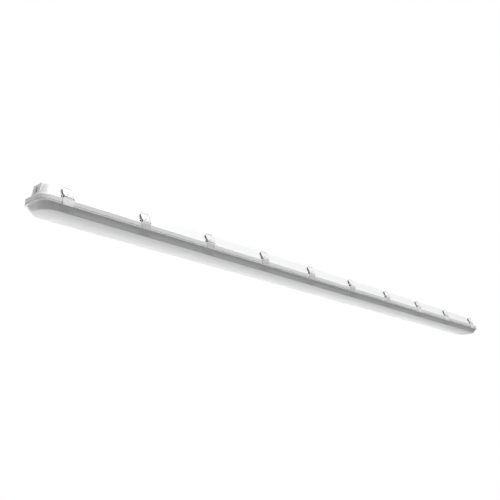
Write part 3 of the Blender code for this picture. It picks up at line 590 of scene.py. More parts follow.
def housing_mesh():
    channel_lip = 0.0014
    channel_inner = 0.0054
    lip_inner = 0.0070
    lip_top = BAND_BOTTOM + 0.0045
    channel_top = BAND_BOTTOM + 0.0030
    ceiling = -WALL
    inner_foot = BAND_TOP - WALL / 2
    levels = [
        (lean_inset(0) + 3 * ROOF_EDGE, end_lean_inset(0) + 3 * ROOF_EDGE,
         ROOF_CORNER - 3 * ROOF_EDGE, 0),
        leaning(0),
        leaning(BAND_TOP),
        even(BAND_EDGE, BAND_TOP),
        even(0, BAND_TOP - BAND_EDGE),
        even(0, BAND_BOTTOM),
        even(channel_lip, BAND_BOTTOM),
        even(channel_lip, channel_top),
        even(channel_inner, channel_top),
        even(channel_inner, BAND_BOTTOM),
        even(lip_inner, BAND_BOTTOM),
        even(lip_inner, lip_top),
        leaning(inner_foot, WALL),
        leaning(ceiling, WALL),
    ]
    edges = [0, ROOF_EDGE, 0.0009, 0.0006, 0.0012, 0.0012, 0.0002,
             0, 0, 0.0003, 0.0003, 0, 0, 0]
    shell = skin("housing", soften(levels, edges))
    bores = gather([rod(ENTRY_BORE, ENTRY_DEPTH, pad_frame(end), 48) for end in (-1, 1)])
    recesses = gather([rod(RECESS_RADIUS, 2 * RECESS_DEPTH, pad_frame(end), 64)
                       for end in (-1, 1)])
    tray_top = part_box("tray_screw_1")[1].z - SCREW_REACH
    return combine(shell, [
        ("UNION", gather([pad_solid(-1), pad_solid(1)])),
        ("UNION", ear_solids()),
        ("UNION", rest_pads()),
        ("UNION", boss_solids(BOSS_RADIUS, tray_top + GAP, -WALL / 2, 32)),
        ("DIFFERENCE", ear_bores()),
        ("DIFFERENCE", bores),
        ("DIFFERENCE", recesses),
        ("DIFFERENCE", boss_solids(BOSS_BORE, tray_top - WALL,
                                   tray_top + BOSS_BORE_DEPTH, 24)),
    ])


white_plastic = moulded_material("white_polycarbonate", (0.90, 0.905, 0.905), 0.38)
housing = housing_mesh()
smooth(housing)
show("housing_moulding", housing, white_plastic, "fixture_body", "housing", "housing")

# The gasket
# A bead of black foamed seal poured into the housing's channel all the way
# round; the lens rim presses up into it, and it shows as the dark seam.

gasket_low, gasket_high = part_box("gasket")
SEAL_OUTER = HALF_LENGTH - gasket_high.x
SEAL_WIDTH = 0.0034


def foam_material():
    material = moulded_material("black_foam", (0.035, 0.035, 0.036), 0.85,
                                0.0006, 0.00012, 0.01)
    tree = material.node_tree
    cells = tree.nodes.new("ShaderNodeTexVoronoi")
    cells.inputs["Scale"].default_value = 1400.0
    bump = next(node for node in tree.nodes if node.type == "BUMP")
    place = next(node for node in tree.nodes if node.type == "TEX_COORD")
    tree.links.new(place.outputs["Object"], cells.inputs["Vector"])
    tree.links.new(cells.outputs["Distance"], bump.inputs["Height"])
    return material


seal_levels = [
    even(SEAL_OUTER, gasket_high.z), even(SEAL_OUTER, gasket_low.z),
    even(SEAL_OUTER + SEAL_WIDTH, gasket_low.z), even(SEAL_OUTER + SEAL_WIDTH, gasket_high.z),
]
seal = skin("gasket", soften(seal_levels, [0.0004, 0.0012, 0.0012, 0.0004], True), True)
smooth(seal)
# The black foam also colours the strips behind the levers, which are painted shadow.
black_foam = foam_material()
show("gasket_bead", seal, black_foam, "fixture_body", "gasket", "gasket")

# The lens
# A frosted polycarbonate tray: leaning sides and ends, a bottom with a shallow
# crown, and a round edged rim that the hooks pull up to the gasket.

RIM_INSET = HALF_LENGTH - lens_high.x
RIM_THICKNESS = 0.0030
RIM_CORNER = BAND_CORNER - RIM_INSET
LENS_FOOT = 0.0026
LENS_END_FOOT = 0.0058
LENS_END_LEAN = 0.0045
LENS_END_POWER = 3.2
LENS_END_STEPS = 10
LENS_SIDE = 0.0082
LENS_END = 0.0190
LENS_CORNER = 0.041
LENS_WALL = 0.0020
LENS_DEPTH = 0.0190
CROWN = 0.00339
# The lens rim is painted lighter than the rest of the lens: a painted highlight for the light
# that the thin rim catches.
RIM_PAINTED_HIGHLIGHT_COLOUR = (0.92, 0.925, 0.925)
CROWN_END_RUN = 0.060
CROWN_STEPS = 14
CROWN_START = 0.08
CROWN_SPAN = 0.82
RIM_INNER = 0.0080
RIM_BOTTOM = lens_high.z - RIM_THICKNESS
CREASE = RIM_BOTTOM - LENS_DEPTH


def frosted_material():
    material = moulded_material("frosted_polycarbonate", (0.77, 0.775, 0.775), 0.50,
                                0.0005, 0.00003, 0.015)
    shader = material.node_tree.nodes["Principled BSDF"]
    shader.inputs["Subsurface Weight"].default_value = 0.15
    shader.inputs["Subsurface Radius"].default_value = (1.0, 1.0, 1.0)
    shader.inputs["Subsurface Scale"].default_value = 0.002
    tree = material.node_tree
    tint = next(node for node in tree.nodes if node.type == "VALTORGB")
    place = next(node for node in tree.nodes if node.type == "TEX_COORD")
    # Painted highlight: above the rim's foot the colour turns to the rim's lighter colour.
    split = tree.nodes.new("ShaderNodeSeparateXYZ")
    height = tree.nodes.new("ShaderNodeMapRange")
    height.inputs["From Min"].default_value = RIM_BOTTOM - 0.0004
    height.inputs["From Max"].default_value = RIM_BOTTOM + 0.0004
    mix = tree.nodes.new("ShaderNodeMix")
    mix.data_type = "RGBA"
    mix.inputs["B"].default_value = (*RIM_PAINTED_HIGHLIGHT_COLOUR, 1)
    tree.links.new(place.outputs["Object"], split.inputs["Vector"])
    tree.links.new(split.outputs["Z"], height.inputs["Value"])
    tree.links.new(height.outputs["Result"], mix.inputs["Factor"])
    tree.links.new(tint.outputs["Color"], mix.inputs["A"])
    tree.links.new(mix.outputs["Result"], shader.inputs["Base Color"])
    return material


def rim_level(inset, z):
    return (inset, inset, RIM_CORNER - inset + RIM_INSET, z)


def crown_level(share, edge_z):
    """A ring of the pillowed bottom: share 0 is its edge, 1 its middle."""
    return (LENS_SIDE + (HALF_WIDTH - LENS_SIDE) * share, LENS_END + CROWN_END_RUN * share,
            LENS_CORNER * (1 - share), edge_z - CROWN * (1 - (1 - share) ** 2))


def wall_level(share, thickness=0.0):
    """A ring of the tray's wall: straight sides, and ends that round into the bottom."""
    side = LENS_FOOT + (LENS_SIDE - LENS_FOOT) * share
    curve = 1 - (1 - share ** LENS_END_POWER) ** (1 / LENS_END_POWER)
    end = LENS_END_FOOT + LENS_END_LEAN * share
    end += (LENS_END - LENS_END_FOOT - LENS_END_LEAN) * curve
    corner = BAND_CORNER - LENS_FOOT + (LENS_CORNER - BAND_CORNER + LENS_FOOT) * share
    return (side + thickness, end + thickness, corner - thickness,
            RIM_BOTTOM - LENS_DEPTH * share + thickness * share)


wall_shares = [math.sin(math.pi / 2 * step / LENS_END_STEPS)
               for step in range(LENS_END_STEPS + 1)]
lens_levels = [wall_level(share, LENS_WALL) for share in reversed(wall_shares)]
lens_levels += [
    rim_level(RIM_INNER, lens_high.z),
    rim_level(RIM_INSET, lens_high.z),
    rim_level(RIM_INSET, RIM_BOTTOM),
]
lens_levels += [wall_level(share) for share in wall_shares]
lens_levels.append(crown_level(CROWN_START, CREASE))
lens_edges = [0] * (LENS_END_STEPS + 1) + [0.0004, 0.0009, 0.0009, 0.0006]
lens_edges += [0] * (LENS_END_STEPS - 1) + [0.0012, 0]
crown_shares = [CROWN_START + CROWN_SPAN * step / CROWN_STEPS
                for step in range(1, CROWN_STEPS + 1)]
lens_rings = [Vector(crown_level(share, CREASE + LENS_WALL))
              for share in reversed(crown_shares)]
lens_rings += soften(lens_levels, lens_edges)
lens_rings += [Vector(crown_level(share, CREASE)) for share in crown_shares]
lens = skin("lens", lens_rings)
smooth(lens)
show("frosted_lens", lens, frosted_material(), "fixture_body", "lens", "lens")

# The latch levers
# White moulded levers, one to each latch: a bordered plate that leans with the
# wall, slotted for the hook's tongue, on two cheeks. Dark steel pins turn it in
# the ears, their near black partly painted shade for the gap at the lever's foot,
# and two black strips on the wall behind it are painted shadow.

KNUCKLE = 0.0023
LEVER_TOP_DROP = 0.0056
LEVER_SHEET = 0.0018
LEVER_TAIL = 0.0047
LEVER_CORNER = 0.0045
TONGUE_WIDTH = 0.0050
SLOT_PLAY = 0.0004
SLOT_HALF = TONGUE_WIDTH / 2 + SLOT_PLAY
SLOT_TOP = KNUCKLE + 0.0008
CHEEK_WIDTH = 0.0050
NOSE = 0.0016
TRUNNION = 0.0011
PIN = 0.0009
NOTCH_WIDTH = 0.0042
NOTCH_HEIGHT = 0.0050
PIN_SLEEVE = 0.0015
PIN_HEAD = 0.0023
PIN_HEAD_HEIGHT = 0.0006
PIN_HEAD_EASE = 0.0005
PIN_EASE = 0.0002
PIN_END_PLAY = 0.0001
BORDER_WIDTH = 0.0013
BORDER_HEIGHT = 0.0009
LEVER_EDGE = 0.0008
BORDER_EDGE = 0.0003
CHEEK_EDGE = 0.0002
LEVER_STEPS = 10
PIN_BORE = PIN + 0.0004
BORE_REACH = SLOT_HALF + 0.0022
STRIP_WIDTH = 0.0028
STRIP_MIDDLE = REST_WIDTH / 2 + 0.0002 + STRIP_WIDTH / 2
STRIP_EDGE = 0.0005
SLIVER = 0.000004


def without_slivers(mesh):
    """Close the needle thin faces that a boolean can leave."""
    bm = bmesh.new()
    bm.from_mesh(mesh)
    bmesh.ops.dissolve_degenerate(bm, dist=SLIVER, edges=bm.edges)
    bmesh.ops.connect_verts_concave(bm, faces=bm.faces)
    bmesh.ops.recalc_face_normals(bm, faces=bm.faces)
    bm.to_mesh(mesh)
    bm.free()
    return mesh


def lever_mesh():
    """One lever, at X = 0 on the near side."""
    half = LATCH_WIDTH / 2
    reach = (-LEVER_TOP_DROP - HOOK_PIVOT[1] - KNUCKLE * OFF[1]) / ALONG[1]
    middle = half - LEVER_CORNER
    notch = half - NOTCH_WIDTH
    notch_top = NOTCH_HEIGHT - LEVER_TAIL
    outline = [Vector((-SLOT_HALF, SLOT_TOP)), Vector((-SLOT_HALF, -LEVER_TAIL)),
               Vector((-notch, -LEVER_TAIL)), Vector((-notch, notch_top)),
               Vector((-half, notch_top))]
    outline += arc((-middle, reach - LEVER_CORNER), LEVER_CORNER, 180, 90, LEVER_STEPS)
    outline += arc((middle, reach - LEVER_CORNER), LEVER_CORNER, 90, 0, LEVER_STEPS)
    outline += [Vector((half, notch_top)), Vector((notch, notch_top)),
                Vector((notch, -LEVER_TAIL)), Vector((SLOT_HALF, -LEVER_TAIL)),
                Vector((SLOT_HALF, SLOT_TOP))]
    lift = Matrix.Translation((0, 0, KNUCKLE - LEVER_SHEET / 2))
    face = plate(outline, LEVER_SHEET, LEVER_FACE @ lift, LEVER_EDGE, 4)
    border = []
    for inset in (0, BORDER_WIDTH):
        radius = LEVER_CORNER - inset
        run = [Vector((inset - half, KNUCKLE))]
        run += arc((-middle, reach - LEVER_CORNER), radius, 180, 90, LEVER_STEPS)
        run += arc((middle, reach - LEVER_CORNER), radius, 90, 0, LEVER_STEPS)
        run.append(Vector((half - inset, KNUCKLE)))
        border += reversed(run) if inset else run
    raised = BORDER_HEIGHT + LEVER_SHEET / 2
    lift = Matrix.Translation((0, 0, KNUCKLE + BORDER_HEIGHT - raised / 2))
    border = plate(border, raised, LEVER_FACE @ lift, BORDER_EDGE, 2)
    back = math.degrees(math.atan2(-OFF[1], -OFF[0])) % 360
    inside = KNUCKLE - LEVER_SHEET / 2
    cheek = arc(LEVER_PIVOT, NOSE, back, 350, 8)
    cheek.append(HOOK_PIVOT + OFF * inside - ALONG * (LEVER_TAIL - TRUNNION))
    cheek.append(HOOK_PIVOT + OFF * inside + ALONG * KNUCKLE)
    cheek += arc(HOOK_PIVOT, KNUCKLE - GAP, back - 90, back, 6)
    cheeks = []
    for side in (-1, 1):
        shift = Matrix.Translation((side * (SLOT_HALF + CHEEK_WIDTH / 2), 0, 0))
        cheeks.append(plate(cheek, CHEEK_WIDTH, shift @ END_VIEW, CHEEK_EDGE, 2))
    bore = rod(PIN_BORE, 2 * BORE_REACH, across(HOOK_PIVOT), 24)
    lever = combine(face, [("UNION", border), ("UNION", gather(cheeks)),
                           ("DIFFERENCE", bore)])
    return without_slivers(lever)


def turned(name, profile, matrix, steps=48):
    """Spin a profile of radius and height, top first, round its axis."""
    mesh = bpy.data.meshes.new(name)
    mesh.from_pydata([(radius, 0, height) for radius, height in profile],
                     [(n, n + 1) for n in range(len(profile) - 1)], [])
    work = helper(name, mesh)
    screw = work.modifiers.new("turn", "SCREW")
    screw.steps = steps
    screw.render_steps = steps
    screw.use_merge_vertices = True
    screw.merge_threshold = WELD
    result = settled(work)
    result.transform(matrix)
    smooth(result)
    return result


def pivot_pins():
    """The dark steel pin at each side: a shoulder inside the ear and a head outside it; its near
    black is partly painted shade for the dark gap at the lever's notch.
    """
    start = SLOT_HALF + CHEEK_WIDTH
    ear = EAR_INNER - GAP
    tip = EAR_INNER + EAR_THICKNESS + PIN_END_PLAY
    crown = tip + PIN_HEAD_HEIGHT
    profile = [(0, start), (PIN_SLEEVE, start), (PIN_SLEEVE, ear - PIN_EASE),
               (PIN_SLEEVE - PIN_EASE, ear), (TRUNNION, ear), (TRUNNION, tip),
               (PIN_HEAD, tip), (PIN_HEAD, tip + PIN_HEAD_HEIGHT / 2),
               (PIN_HEAD - PIN_HEAD_EASE, crown), (0, crown)]
    pins = []
    for side in (-1, 1):
        pins.append(turned("pin", [(radius, side * place) for radius, place in profile],
                           across(LEVER_PIVOT), 24))
    return gather(pins)


def painted_shadow_strips():
    """Two slim black strips on the wall behind each lever: painted shadow for the gap between
    lever and wall.
    """
    stand_off = HOOK_PIVOT[0] - HALF_WIDTH + lean_inset(HOOK_PIVOT[1])
    thickness = stand_off * OFF[0] + REST_FACE - GAP / 10
    lift = Matrix.Translation((0, 0, REST_FACE - thickness / 2))
    shadow_strips = []
    for side in (-1, 1):
        low = side * STRIP_MIDDLE - STRIP_WIDTH / 2
        high = side * STRIP_MIDDLE + STRIP_WIDTH / 2
        outline = [Vector((low, REST_FOOT)), Vector((low, REST_TOP)),
                   Vector((high, REST_TOP)), Vector((high, REST_FOOT))]
        shadow_strips.append(plate(outline, thickness, LEVER_FACE @ lift, STRIP_EDGE, 2))
    pair = gather(shadow_strips)
    everywhere = []
    for name, matrix in latch_frames():
        copy = pair.copy()
        copy.transform(matrix)
        everywhere.append(copy)
    return gather(everywhere)


lever_white = moulded_material("latch_white", (0.90, 0.90, 0.895), 0.33)
# Near-black pins: a real steel part, and partly painted shade for the dark gap beside each
# lever's foot.
pin_steel_and_painted_shade = moulded_material("dark_pin_and_painted_shade", (0.030, 0.030, 0.032), 0.45, 0.0002, 0.00001, 0.01)
# The black strips are painted shadow for the gap between each lever and the wall.
shadow_strips = painted_shadow_strips()
smooth(shadow_strips)
show("painted_shadow_strips", shadow_strips, black_foam, "fixture_body", "gasket")
lever = lever_mesh()
smooth(lever)
pins = pivot_pins()
smooth(pins)
for name, matrix in latch_frames():
    copy = lever.copy()
    copy.transform(matrix)
    show("lever_" + name, copy, lever_white, "lever_" + name, "latch_lever",
         "latch_lever_" + name)
    copy = pins.copy()
    copy.transform(matrix)
    show("pin_" + name, copy, pin_steel_and_painted_shade, "lever_" + name, "latch_lever")

# The latch hooks
# White moulded links: a knuckle and tongue between the lever's cheeks, a plate
# over the flange, and a toe under the lens rim. A ribbed grip is moulded over
# the plate; the photograph shows warm grey ones, and white at both ends.

HOOK_PLAY = 0.0004
HOOK_SHEET = 0.0025
HOOK_RISE = 0.0016
HOOK_CREST = 0.0012
HOOK_EDGE = 0.00035
HOOK_INNER = HALF_WIDTH + HOOK_PLAY
HOOK_OUTER = HOOK_INNER + HOOK_SHEET
HOOK_TOP = BAND_TOP + HOOK_RISE
TOE_SHEET = 0.0018
TOE_EASE = 0.0006
TOE_TOP = RIM_BOTTOM - GAP
TOE_BOTTOM = TOE_TOP - TOE_SHEET
TOE_REACH = 0.0025
TONGUE_FOOT = 0.0009
TONGUE_BACK = 0.0010
PIN_REACH = SLOT_HALF + 0.0019
CUT_SIDE = 0.0062
CUT_RISE = 0.0032
CUT_DEPTH = 0.03
RIB_COUNT = 4
RIB_WIDTH = 0.0022
RIB_HEIGHT = 0.0005
RIB_PITCH = 0.0070
GRIP_TOP = BAND_TOP - 0.0020
GRIP_BOTTOM = RIM_BOTTOM - 0.0012
GRIP_SHEET = 0.0005
GRIP_SEAT = 0.0001
GRIP_MARGIN = 0.0002
GRIP_EDGE = 0.0001
RIB_MARGIN = 0.0008
HOOK_LEAN = 0.0013
LEAN_FOOT = TOE_BOTTOM + TOE_EASE
LEAN_RATE = HOOK_LEAN / (HOOK_TOP + HOOK_CREST - LEAN_FOOT)
LEAN_IN = Matrix((
    (1, 0, 0, 0),
    (0, 1, LEAN_RATE, -LEAN_RATE * LEAN_FOOT),
    (0, 0, 1, 0),
    (0, 0, 0, 1),
))
GREY_GRIPS = ("02", "03", "04", "05", "06", "07")


def socket_id(tree, label):
    for item in tree.interface.items_tree:
        if item.name == label and item.in_out == "INPUT":
            return item.identifier


def input_tree(name, lengths):
    """An empty node group with a count and some lengths to set."""
    tree = bpy.data.node_groups.new(name, "GeometryNodeTree")
    face = tree.interface
    face.new_socket("Count", in_out="INPUT", socket_type="NodeSocketInt")
    for label in lengths:
        face.new_socket(label, in_out="INPUT", socket_type="NodeSocketFloat")
    face.new_socket("Geometry", in_out="OUTPUT", socket_type="NodeSocketGeometry")
    return tree


def fitted(tree, inputs, shape, labels):
    """Scale a unit shape in X, Y and Z by the inputs of these labels."""
    size = tree.nodes.new("ShaderNodeCombineXYZ")
    for axis, label in zip("XYZ", labels):
        tree.links.new(inputs.outputs[label], size.inputs[axis])
    fit = tree.nodes.new("GeometryNodeTransform")
    tree.links.new(shape, fit.inputs["Geometry"])
    tree.links.new(size.outputs["Vector"], fit.inputs["Scale"])
    return fit.outputs["Geometry"]


def repeated(tree, points, shape, material):
    """Put the shape on every point, as real faces in one material, and end the group."""
    repeat = tree.nodes.new("GeometryNodeInstanceOnPoints")
    tree.links.new(points, repeat.inputs["Points"])
    tree.links.new(shape, repeat.inputs["Instance"])
    real = tree.nodes.new("GeometryNodeRealizeInstances")
    tree.links.new(repeat.outputs["Instances"], real.inputs["Geometry"])
    paint = tree.nodes.new("GeometryNodeSetMaterial")
    paint.inputs["Material"].default_value = material
    tree.links.new(real.outputs["Geometry"], paint.inputs["Geometry"])
    out = tree.nodes.new("NodeGroupOutput")
    tree.links.new(paint.outputs["Geometry"], out.inputs["Geometry"])


def grown(tree, values):
    """The plain mesh that a node group makes from these inputs."""
    carrier = helper(tree.name, bpy.data.meshes.new(tree.name))
    modifier = carrier.modifiers.new(tree.name, "NODES")
    modifier.node_group = tree
    for label, value in values.items():
        modifier[socket_id(tree, label)] = value
    return settled(carrier)


def grip_rib_tree(material):
    """A row of upright ribs: one long rounded bar repeated across the hook."""
    tree = input_tree("grip_ribs", ("Pitch", "Length", "Width", "Height"))
    inputs = tree.nodes.new("NodeGroupInput")
    bar = tree.nodes.new("GeometryNodeMeshUVSphere")
    bar.inputs["Segments"].default_value = 16
    bar.inputs["Rings"].default_value = 12
    bar.inputs["Radius"].default_value = 0.5
    shape = fitted(tree, inputs, bar.outputs["Mesh"], ("Width", "Height", "Length"))
    step = tree.nodes.new("ShaderNodeCombineXYZ")
    tree.links.new(inputs.outputs["Pitch"], step.inputs["X"])
    row = tree.nodes.new("GeometryNodeMeshLine")
    tree.links.new(inputs.outputs["Count"], row.inputs["Count"])
    tree.links.new(step.outputs["Vector"], row.inputs["Offset"])
    repeated(tree, row.outputs["Mesh"], shape, material)
    return tree


def grip_ribs(material):
    length = GRIP_TOP - GRIP_BOTTOM - 2 * RIB_MARGIN
    mesh = grown(grip_rib_tree(material),
                 {"Count": RIB_COUNT, "Pitch": RIB_PITCH, "Length": length,
                  "Width": RIB_WIDTH, "Height": 2 * RIB_HEIGHT})
    start = -(RIB_COUNT - 1) / 2 * RIB_PITCH
    mesh.transform(Matrix.Translation((start, -HOOK_OUTER, (GRIP_TOP + GRIP_BOTTOM) / 2)))
    return mesh


def grip_mesh(material):
    """The ribbed cover, let into the link's face."""
    inner = HOOK_OUTER - GRIP_SHEET
    outline = [Vector((inner, GRIP_TOP)), Vector((HOOK_OUTER, GRIP_TOP)),
               Vector((HOOK_OUTER, GRIP_BOTTOM)), Vector((inner, GRIP_BOTTOM))]
    cover = plate(outline, LATCH_WIDTH - 2 * GRIP_MARGIN, END_VIEW, GRIP_EDGE, 2)
    mesh = combine(cover, [("UNION", grip_ribs(material))])
    mesh.transform(LEAN_IN)
    return mesh


def grip_recess():
    """The cut in the link's face, a little larger than the cover."""
    inner = HOOK_OUTER - GRIP_SHEET - GRIP_SEAT
    outer = HOOK_OUTER + WALL
    top = GRIP_TOP + GRIP_SEAT
    bottom = GRIP_BOTTOM - GRIP_SEAT
    outline = [Vector((inner, top)), Vector((outer, top)),
               Vector((outer, bottom)), Vector((inner, bottom))]
    return plate(outline, LATCH_WIDTH + WALL, LEAN_IN @ END_VIEW)


def corner_cuts():
    """Cuts off the plate's top corners, which leave an opening beside the ears."""
    turn = Matrix.Rotation(math.radians(45), 4, "Y")
    cuts = []
    for side in (-1, 1):
        middle = (side * LATCH_WIDTH / 2, -HOOK_OUTER, BAND_TOP + CUT_RISE)
        cuts.append(block((CUT_SIDE, CUT_DEPTH, CUT_SIDE), Matrix.Translation(middle) @ turn))
    return gather(cuts)


def hook_mesh():
    """One hook without its grip, at X = 0 on the near side."""
    outline = [
        Vector((HOOK_INNER, HOOK_TOP)),
        Vector((HOOK_OUTER - HOOK_LEAN, HOOK_TOP + HOOK_CREST)),
        Vector((HOOK_OUTER, TOE_BOTTOM + TOE_EASE)),
        Vector((HOOK_OUTER - TOE_EASE, TOE_BOTTOM)),
        Vector((HOOK_INNER - TOE_REACH, TOE_BOTTOM + TOE_EASE)),
        Vector((HOOK_INNER - TOE_REACH, TOE_TOP)),
        Vector((HOOK_INNER, TOE_TOP)),
    ]
    base = plate(outline, LATCH_WIDTH, END_VIEW, HOOK_EDGE, 3)
    front = math.degrees(math.atan2(OFF[1], OFF[0]))
    tongue = [Vector((HOOK_INNER + TONGUE_FOOT, HOOK_TOP - HOOK_CREST)),
              Vector((HOOK_OUTER - HOOK_LEAN, HOOK_TOP))]
    tongue.append(HOOK_PIVOT + OFF * KNUCKLE - ALONG * (LEVER_TAIL + TRUNNION))
    tongue += arc(HOOK_PIVOT, KNUCKLE, front, front + 230, 20)
    tongue.append(HOOK_PIVOT - OFF * TONGUE_BACK - ALONG * KNUCKLE)
    tongue.append(Vector((HOOK_INNER, HOOK_TOP - HOOK_CREST)))
    strap = plate(tongue, TONGUE_WIDTH, END_VIEW)
    pin = rod(PIN, 2 * PIN_REACH, across(HOOK_PIVOT), 24)
    hook = combine(base, [("DIFFERENCE", corner_cuts()), ("UNION", strap), ("UNION", pin),
                          ("DIFFERENCE", grip_recess())])
    return without_slivers(hook)


grip_grey = moulded_material("grip_grey", (0.66, 0.655, 0.645), 0.5)
grip_white = moulded_material("grip_white", (0.96, 0.96, 0.955), 0.5)
hook = hook_mesh()
smooth(hook)
grip = grip_mesh(grip_grey)
smooth(grip)
for name, matrix in latch_frames():
    copy = hook.copy()
    copy.transform(matrix)
    show("hook_" + name, copy, lever_white, "hook_" + name, "latch_hook", "latch_hook_" + name)
    copy = grip.copy()
    copy.transform(matrix)
    cover = grip_grey if name[-2:] in GREY_GRIPS else grip_white
    show("grip_" + name, copy, cover, "hook_" + name, "latch_hook")

# The cable entry and the blanking plug
# A grey rubber bush with the supply cable's hole, pressed into the near pad's
# bore, and a plain plug in the far one.

BUSH_FLANGE = 0.0105
BUSH_HEIGHT = 0.0014
BUSH_NECK = ENTRY_BORE - GAP
BUSH_DEPTH = 0.0068
CABLE_HOLE = 0.0040
CABLE_LIP = 0.0030
DISH_EDGE = 0.0078
DISH_TOP = 0.0082
BUSH_ROLL = 0.0005
RIDGE_RADIUS = 0.0052
RIDGE_ROLL = 0.0006
BUSH_TOP = -GAP
BUSH_SEAT = BUSH_TOP - BUSH_HEIGHT
DISH_FLOOR = BUSH_TOP - 0.0009


def rolled(radius, height, roll, angles):
    """Points round an edge of a turned profile, by the roll's own angles."""
    return [(radius + roll * math.cos(math.radians(angle)),
             height + roll * math.sin(math.radians(angle))) for angle in angles]


ridge = rolled(RIDGE_RADIUS, BUSH_TOP - RIDGE_ROLL, RIDGE_ROLL,
               (180, 150, 120, 90, 60, 30, 0))
ridge += [(0.0060, DISH_FLOOR), (DISH_EDGE, DISH_FLOOR)]
flange_edge = rolled(BUSH_FLANGE - BUSH_ROLL, BUSH_TOP - BUSH_ROLL, BUSH_ROLL,
                     (90, 60, 30, 0))
foot_of_flange = [(BUSH_FLANGE, BUSH_SEAT), (BUSH_NECK, BUSH_SEAT), (BUSH_NECK, -BUSH_DEPTH)]
lip = [(CABLE_LIP, BUSH_TOP - 0.0016), (CABLE_LIP, BUSH_TOP - 0.0011),
       (CABLE_LIP + 0.0004, DISH_FLOOR)]
bush_profile = lip + ridge + [(DISH_TOP, BUSH_TOP)] + flange_edge + foot_of_flange
bush_profile += [(CABLE_HOLE, -BUSH_DEPTH), (CABLE_HOLE, BUSH_TOP - 0.0020), lip[0]]
plug_profile = [(0, DISH_FLOOR), (DISH_EDGE, DISH_FLOOR), (DISH_TOP, BUSH_TOP)]
plug_profile += flange_edge + foot_of_flange + [(0, -BUSH_DEPTH)]
entry_rubber = moulded_material("entry_rubber", (0.74, 0.74, 0.74), 0.6)
show("cable_bush", turned("cable_bush", bush_profile, pad_frame(-1)), entry_rubber,
     "fixture_body", "entry_rubber", "entry_bush")
show("blanking_plug", turned("blanking_plug", plug_profile, pad_frame(1)), entry_rubber,
     "fixture_body", "entry_rubber", "end_plug")

# The gear tray and what it carries
# A folded sheet tray, powder coated white, held by four zinc screws, with the
# light boards under it and the driver, terminal block and leads on top.

SCREW_HEAD = 0.0038
SCREW_HEAD_HEIGHT = 0.0022
SCREW_SHANK = 0.0016
SCREW_THREAD = 0.0002
SCREW_PITCH = 0.0008
CROSS_LENGTH = 0.0038
CROSS_WIDTH = 0.0008
CROSS_DEPTH = 0.0013


def finish_node(name, material):
    """Give a solid that keeps its CAD shape its own material."""
    obj = nodes[name]
    obj.data.materials.clear()
    obj.data.materials.append(material)


def screw_mesh(length):
    """A pan head with a cross recess over a ridged shank; Z points out of the head."""
    profile = [(0, SCREW_HEAD_HEIGHT), (0.0012, SCREW_HEAD_HEIGHT), (0.0024, 0.0020),
               (0.0033, 0.0015), (SCREW_HEAD, 0.0007), (SCREW_HEAD, 0), (SCREW_SHANK, 0)]
    turns = int(length / SCREW_PITCH) - 1
    for turn in range(turns):
        crest = -(turn + 0.5) * SCREW_PITCH
        profile += [(SCREW_SHANK, crest),
                    (SCREW_SHANK - SCREW_THREAD, crest - SCREW_PITCH / 2)]
    profile += [(SCREW_SHANK / 2, -length), (0, -length)]
    mesh = turned("tray_screw", profile, Matrix.Identity(4), 24)
    cuts = []
    for turn in (0, math.pi / 2):
        place = Matrix.Translation((0, 0, SCREW_HEAD_HEIGHT)) @ Matrix.Rotation(turn, 4, "Z")
        cut = block((CROSS_LENGTH, CROSS_WIDTH, 2 * CROSS_DEPTH), place)
        cuts.append(("DIFFERENCE", cut))
    mesh = combine(mesh, cuts)
    smooth(mesh)
    return mesh


CHIP_COUNT = 36
CHIP_ROWS_APART = 0.010
CHIP_LENGTH = 0.0035
CHIP_WIDTH = 0.0028
CHIP_HEIGHT = 0.0007
CHIP_DRAFT = 0.9
WINDOW_SHARE = 0.72
WINDOW_PROUD = 0.00006


def chip_tree(name, material):
    """Two rows of small blocks with drafted sides, pointing down from a board."""
    tree = input_tree(name, ("Run", "Apart", "Length", "Width", "Height"))
    inputs = tree.nodes.new("NodeGroupInput")
    chip = tree.nodes.new("GeometryNodeMeshCone")
    chip.inputs["Vertices"].default_value = 4
    chip.inputs["Radius Bottom"].default_value = math.sqrt(0.5)
    chip.inputs["Radius Top"].default_value = math.sqrt(0.5) * CHIP_DRAFT
    chip.inputs["Depth"].default_value = 1.0
    turn = tree.nodes.new("GeometryNodeTransform")
    turn.inputs["Rotation"].default_value = (math.pi, 0, math.pi / 4)
    tree.links.new(chip.outputs["Mesh"], turn.inputs["Geometry"])
    shape = fitted(tree, inputs, turn.outputs["Geometry"], ("Length", "Width", "Height"))
    rows = tree.nodes.new("GeometryNodeMeshGrid")
    rows.inputs["Vertices Y"].default_value = 2
    tree.links.new(inputs.outputs["Count"], rows.inputs["Vertices X"])
    tree.links.new(inputs.outputs["Run"], rows.inputs["Size X"])
    tree.links.new(inputs.outputs["Apart"], rows.inputs["Size Y"])
    repeated(tree, rows.outputs["Mesh"], shape, material)
    return tree


def chip_rows(tree, middle, length, share, height):
    run = length * (CHIP_COUNT - 1) / CHIP_COUNT
    mesh = grown(tree, {"Count": CHIP_COUNT, "Run": run, "Apart": CHIP_ROWS_APART,
                        "Length": CHIP_LENGTH * share, "Width": CHIP_WIDTH * share,
                        "Height": height})
    mesh.transform(Matrix.Translation(middle))
    return mesh


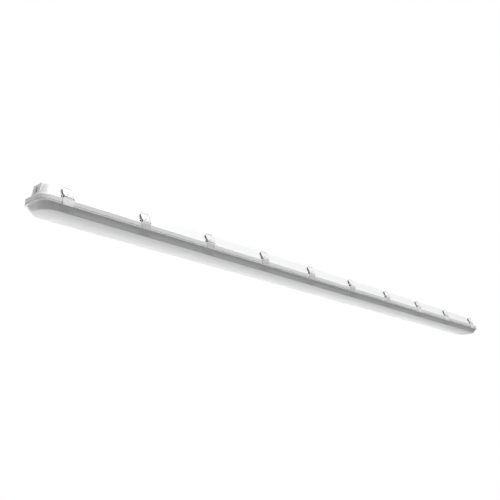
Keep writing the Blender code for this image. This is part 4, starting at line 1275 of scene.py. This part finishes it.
powder = moulded_material("white_powder_coat", (0.85, 0.85, 0.85), 0.45, 0.0009, 0.00004)
zinc = moulded_material("zinc_plate", (0.62, 0.63, 0.65), 0.30)
zinc.node_tree.nodes["Principled BSDF"].inputs["Metallic"].default_value = 1.0
board_mask = moulded_material("white_board_mask", (0.88, 0.88, 0.86), 0.45)
chip_white = moulded_material("chip_white", (0.90, 0.90, 0.88), 0.35, 0.0002, 0.00001)
phosphor = moulded_material("chip_phosphor", (0.92, 0.80, 0.36), 0.30, 0.0002, 0.00001)
driver_paint = moulded_material("driver_paint", (0.78, 0.78, 0.78), 0.40)
terminal_grey = moulded_material("terminal_grey", (0.62, 0.62, 0.62), 0.50)
lead_sheath = moulded_material("lead_sheath", (0.70, 0.70, 0.70), 0.55)
for name, material in (("gear_tray", powder), ("driver", driver_paint),
                       ("terminal_block", terminal_grey), ("lead_supply", lead_sheath),
                       ("lead_output", lead_sheath)):
    finish_node(name, material)
body_tree = chip_tree("chip_bodies", chip_white)
window_tree = chip_tree("chip_windows", phosphor)
for number in range(1, 5):
    low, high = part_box("tray_screw_%d" % number)
    seat = Vector(((low.x + high.x) / 2, (low.y + high.y) / 2, low.z + SCREW_HEAD_HEIGHT))
    screw = screw_mesh(high.z - seat.z)
    screw.transform(Matrix.Translation(seat) @ Matrix.Rotation(math.pi, 4, "X"))
    show("screw_%d" % number, screw, zinc, "fixture_body", "screw", "tray_screw_%d" % number)
    finish_node("led_board_%d" % number, board_mask)
    low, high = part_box("led_board_%d" % number)
    middle = Vector(((low.x + high.x) / 2, (low.y + high.y) / 2, low.z))
    bodies = chip_rows(body_tree, middle, high.x - low.x, 1, CHIP_HEIGHT)
    show("chip_bodies_%d" % number, bodies, chip_white, "fixture_body", "board")
    windows = chip_rows(window_tree, middle, high.x - low.x, WINDOW_SHARE,
                        CHIP_HEIGHT + WINDOW_PROUD)
    show("chip_windows_%d" % number, windows, phosphor, "fixture_body", "board")

bpy.context.scene.view_settings.view_transform = "Standard"
